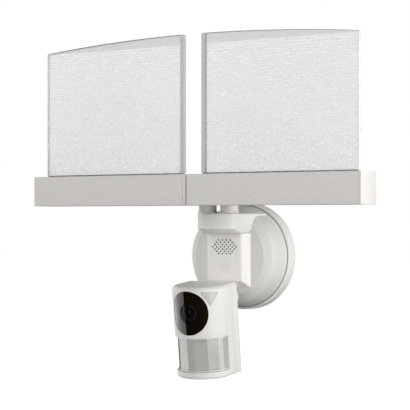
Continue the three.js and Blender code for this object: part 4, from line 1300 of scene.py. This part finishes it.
def build_head_rear():
    edge = 1.6
    rings = [rear_ring(0.0, HEAD_SPLIT + COVER_GAP)] + [
        rear_ring(edge * (1 - math.cos(a)), HEAD_BACK - edge * (1 - math.sin(a)))
        for a in quarter(6)
    ]
    cover = loft("head_back", rings, HEAD_TO_ROW)
    cut(cover, head_room(HEAD_BACK - SHELL_WALL))
    soften(cover, 0.3, 2, 60)
    join(cover, rod("tool", 4.2, "Y", (0, SCREW_Z), HEAD_SPLIT + GAP, HEAD_BACK - 1, 48, HEAD_TO_ROW))
    for side in (-1, 1):
        near, far = sorted((side * (BARREL_HALF + GAP), side * EAR_OUTER_X))
        outline = [
            (HEAD_BACK - 2, -BARREL_R), *arc((0, 0), BARREL_R, -90, 90, 28), (HEAD_BACK - 2, BARREL_R),
        ]
        ear = slab("tool", outline, "X", near, far, HEAD_TO_ROW)
        soften(ear, 0.6, 3, 60)
        join(cover, ear)
    cut(
        cover,
        rod("tool", PIN_R + GAP, "X", (0, 0), -30, 30, 40, HEAD_TO_ROW),
        rod("tool", SCREW_CLEAR_R, "Y", (0, SCREW_Z), HEAD_SPLIT - 1, HEAD_BACK + 1, 32, HEAD_TO_ROW),
    )
    fit_out(cover, "camera", CASING, "head_rear_cover", 30)

    pin_half = EAR_OUTER_X - 1
    pin = rod("tilt_axle", PIN_R, "X", (0, 0), -pin_half, pin_half, 40, HEAD_TO_ROW)
    soften(pin, 0.3, 2)
    fit_out(pin, "camera", STEEL, "head_tilt_pin")
    pan_screw("cover_screw", "camera", "head_screw", HEAD_BACK + GAP, -30.0, (0, SCREW_Z), 1.3, 2.9, 1.6,
              HEAD_TO_ROW)


def curved_window(name, outline_tool):
    """A window that follows the head's curved wall, within an outline."""
    window = head_solid(name, WINDOW_INSET, HEAD_LOW + 3, HEAD_TOP - 3, HEAD_SPLIT, steps=96)
    cut(window, head_solid("tool", SHELL_WALL, HEAD_LOW + 2, HEAD_TOP - 2, HEAD_SPLIT + 5, steps=96))
    return combine(window, (outline_tool,), "INTERSECT")


def build_windows():
    cover = curved_window("lens_cover", window_tool(WINDOW_R - 0.15))
    soften(cover, 0.3, 3, 50)
    fit_out(cover, "camera", LENS_COVER, "lens_window", 30)
    for name, side in SIDES.items():
        window = curved_window(f"corner_window_{name}", corner_tool(side, 0.94))
        soften(window, 0.25, 2, 50)
        fit_out(window, "camera", WINDOW, f"light_window_{name}", 30)


def facet_line(inset):
    """The film's bent plan, from its left end round the front to its right end."""
    radius = HEAD_ARC_R - inset
    centre = HEAD_FRONT + HEAD_ARC_R
    side = HEAD_W - inset
    bends = [x * side / (HEAD_W - PIR_INSET) for x in PIR_FACETS]
    half = [(x, centre - math.sqrt(radius ** 2 - x ** 2)) for x in bends]
    half.append((side, PIR_WRAP - GAP))
    return [(-x, y) for x, y in reversed(half)] + half


def build_pir():
    outer, inner = (facet_line(PIR_INSET + extra) for extra in (0.0, PIR_WALL))
    lens = slab("motion_lens", outer + inner[::-1], "Z", PIR_LOW + GAP, PIR_TOP - GAP, HEAD_TO_ROW)
    lip = facet_line(PIR_INSET - PIR_LIP_PROUD) + inner[::-1]
    for low in (PIR_LOW + GAP, PIR_TOP - GAP - PIR_LIP):
        join(lens, slab("tool", lip, "Z", low, low + PIR_LIP, HEAD_TO_ROW))
    soften(lens, 0.15, 2, 12)
    fit_out(lens, "camera", FILM, "pir_lens", 8)

    board = block("motion_sensor", (-12, -40, -58), (12, -38.6, -36), HEAD_TO_ROW)
    can = [(0, -38.9), (4.6, -38.9), (4.6, -39.4), (4.1, -39.6), (4.1, -44.7), (3.8, -45), (0, -45)]
    join(board, turned("tool", can, "Y", (0, -47), 48, HEAD_TO_ROW))
    fit_out(board, "camera", STEEL, "pir_sensor")


def build_lens():
    y = LENS_Y
    profile = [
        (5.4, y + 2), (5.9, y + 1.4), (7.2, y + 1.15), (8, y + 1), (8.4, y + 1.2), (9, y + 2.5),
        (9, y + 6), (8.7, y + 6.2), (8.7, y + 6.8), (9, y + 7), (9, y + 16), (5.4, y + 16),
    ]
    barrel = turned("lens_ring", profile, "Y", (0, WINDOW_Z), 96, HEAD_TO_ROW)
    fit_out(barrel, "camera", BLACK, "lens_barrel", 30)
    dome_r, rim_r = 3.6, 5.0
    dome = [(dome_r * math.sin(a), y + 2.6 + 2.6 * (1 - math.cos(a))) for a in quarter(12)]
    profile = [*dome, (rim_r, y + 5.6), (rim_r, y + 9), (0, y + 9)]
    glass = turned("front_lens", profile, "Y", (0, WINDOW_Z), 96, HEAD_TO_ROW)
    fit_out(glass, "camera", GLASS, "lens_glass", 40)


def build_plug():
    low = HEAD_LOW - 1
    top = HEAD_LOW + 3
    profile = [(0, low + 0.2), (1.2, low + 0.05), (1.7, low), (PLUG_R, low + 0.3), (PLUG_R, top), (0, top)]
    plug = turned("mic_plug", profile, "Z", (0, PLUG_Y), 48, HEAD_TO_ROW)
    fit_out(plug, "camera", CASING, "microphone_plug", 30)


# ---------------- assembly

FILM = fresnel_film("lens film", 1.1, HEAD_TO_ROW @ Vector((0, HEAD_FRONT, (PIR_TOP + PIR_LOW) / 2)),
                    HEAD_TO_ROW.to_3x3() @ Vector((0, 0, 1)), (PIR_TOP - PIR_LOW) / 2 - GAP - PIR_LIP)
LENS_COVER = lens_cover("lens cover", HEAD_TO_ROW @ Vector((0, HEAD_FRONT, WINDOW_Z)), 9.4)
GLASS = coated_glass("coated glass", HEAD_TO_ROW @ Vector((1.6, LENS_Y + 3.8, WINDOW_Z - 1.8)))

for build in (
    build_base, build_dish, build_gasket, build_bracket, build_base_screws,
    build_column, build_button, build_speaker, build_column_screws, build_cap,
):
    build()
for side_name, side_sign in SIDES.items():
    build_post(side_name)
    build_post_fittings(side_name, side_sign)
    build_bar(side_name, side_sign)
    build_bar_back(side_name, side_sign)
    build_end_caps(side_name)
    build_leds(side_name)
    build_heat_sink(side_name)
    build_seal_and_shade_lip(side_name, side_sign)
    build_panel(side_name, side_sign)
for build in (
    build_neck, build_head_front, build_head_rear, build_windows, build_pir, build_lens, build_plug,
):
    build()

for node, paint in (
    ("power_board", BOARD),
    ("main_board", BOARD),
    ("sensor_board", BOARD),
    ("terminal_block", TERMINAL),
):
    cad = frame["nodes"][node]
    cad.data.materials.clear()
    cad.data.materials.append(paint)


# ---------------- studio


def studio_white():
    """Pale paper: pure white where the camera sees it, and a plain diffuse surface for the light."""
    paint = Paint("studio white", 0.9)
    cloud = paint.ramp(paint.noise(400), 0.2, 0.8)
    paint.feed("Base Color", paint.mix(cloud, (0.58, 0.58, 0.58), (0.60, 0.60, 0.60)))
    paint.level("Emission Color", (1, 1, 1, 1))
    paint.feed("Emission Strength", paint.node("LightPath").outputs["Is Camera Ray"])
    return paint.material


def area_light(name, place, target, size, power, in_reflections=True):
    data = bpy.data.lights.new(name, "AREA")
    data.shape = "RECTANGLE"
    data.size, data.size_y = size
    data.energy = power
    light = bpy.data.objects.new(name, data)
    light.location = place
    light.rotation_euler = (Vector(target) - Vector(place)).to_track_quat("-Z", "Y").to_euler()
    light.visible_camera = False
    light.visible_glossy = in_reflections
    bpy.context.scene.collection.objects.link(light)


FLOOR_Z = CAD_BOX[0][2] - 0.16
REACH = 8.0
floor_mesh = bpy.data.meshes.new("floor")
floor_corners = [(x * REACH, y * REACH, FLOOR_Z) for x, y in ((-1, -1), (1, -1), (1, 1), (-1, 1))]
floor_mesh.from_pydata(floor_corners, [], [(0, 1, 2, 3)])
floor_mesh.materials.append(studio_white())
floor = bpy.data.objects.new("floor", floor_mesh)
bpy.context.scene.collection.objects.link(floor)
floor.visible_glossy = False

area_light("right", (2.5, -0.06, 0.5), (0, -0.06, 0.5), (3.1, 2.4), 62)
area_light("near right", (0.45, -0.1, 0.1), (0.0, -0.1, 0.05), (0.2, 0.2), 0.34, False)
area_light("left", (-2.5, -0.39, 0.1), (0, -0.39, 0.1), (3.8, 3.6), 84)
area_light("front", (0.6, -2.8, 0.5), (0, 0, 0.1), (2.0, 2.0), 36, False)

world = bpy.data.worlds.new("studio")
world.use_nodes = True
nodes, links = world.node_tree.nodes, world.node_tree.links
background = nodes["Background"]
background.inputs["Color"].default_value = (1, 1, 1, 1)
path = nodes.new("ShaderNodeLightPath")
strength = nodes.new("ShaderNodeMath")
strength.operation = "MULTIPLY"
for factor, ray, without, within in ((0, "Is Camera Ray", 0.05, 1.0), (1, "Is Glossy Ray", 1.0, 0.1)):
    level = nodes.new("ShaderNodeMapRange")
    level.inputs["To Min"].default_value = without
    level.inputs["To Max"].default_value = within
    links.new(path.outputs[ray], level.inputs["Value"])
    links.new(level.outputs["Result"], strength.inputs[factor])
links.new(strength.outputs["Value"], background.inputs["Strength"])
bpy.context.scene.world = world
bpy.context.scene.view_settings.view_transform = "Standard"

camera_data = bpy.data.cameras.new("camera")
camera_data.lens = 125.514
camera_data.shift_y = 0.036104
camera_object = bpy.data.objects.new("camera", camera_data)
camera_object.location = (0.73919, -1.25602, 0.03656)
camera_object.rotation_euler = (math.radians(90), 0, math.radians(32.238))
bpy.context.scene.collection.objects.link(camera_object)
bpy.context.scene.camera = camera_object

bpy.context.view_layer.update()
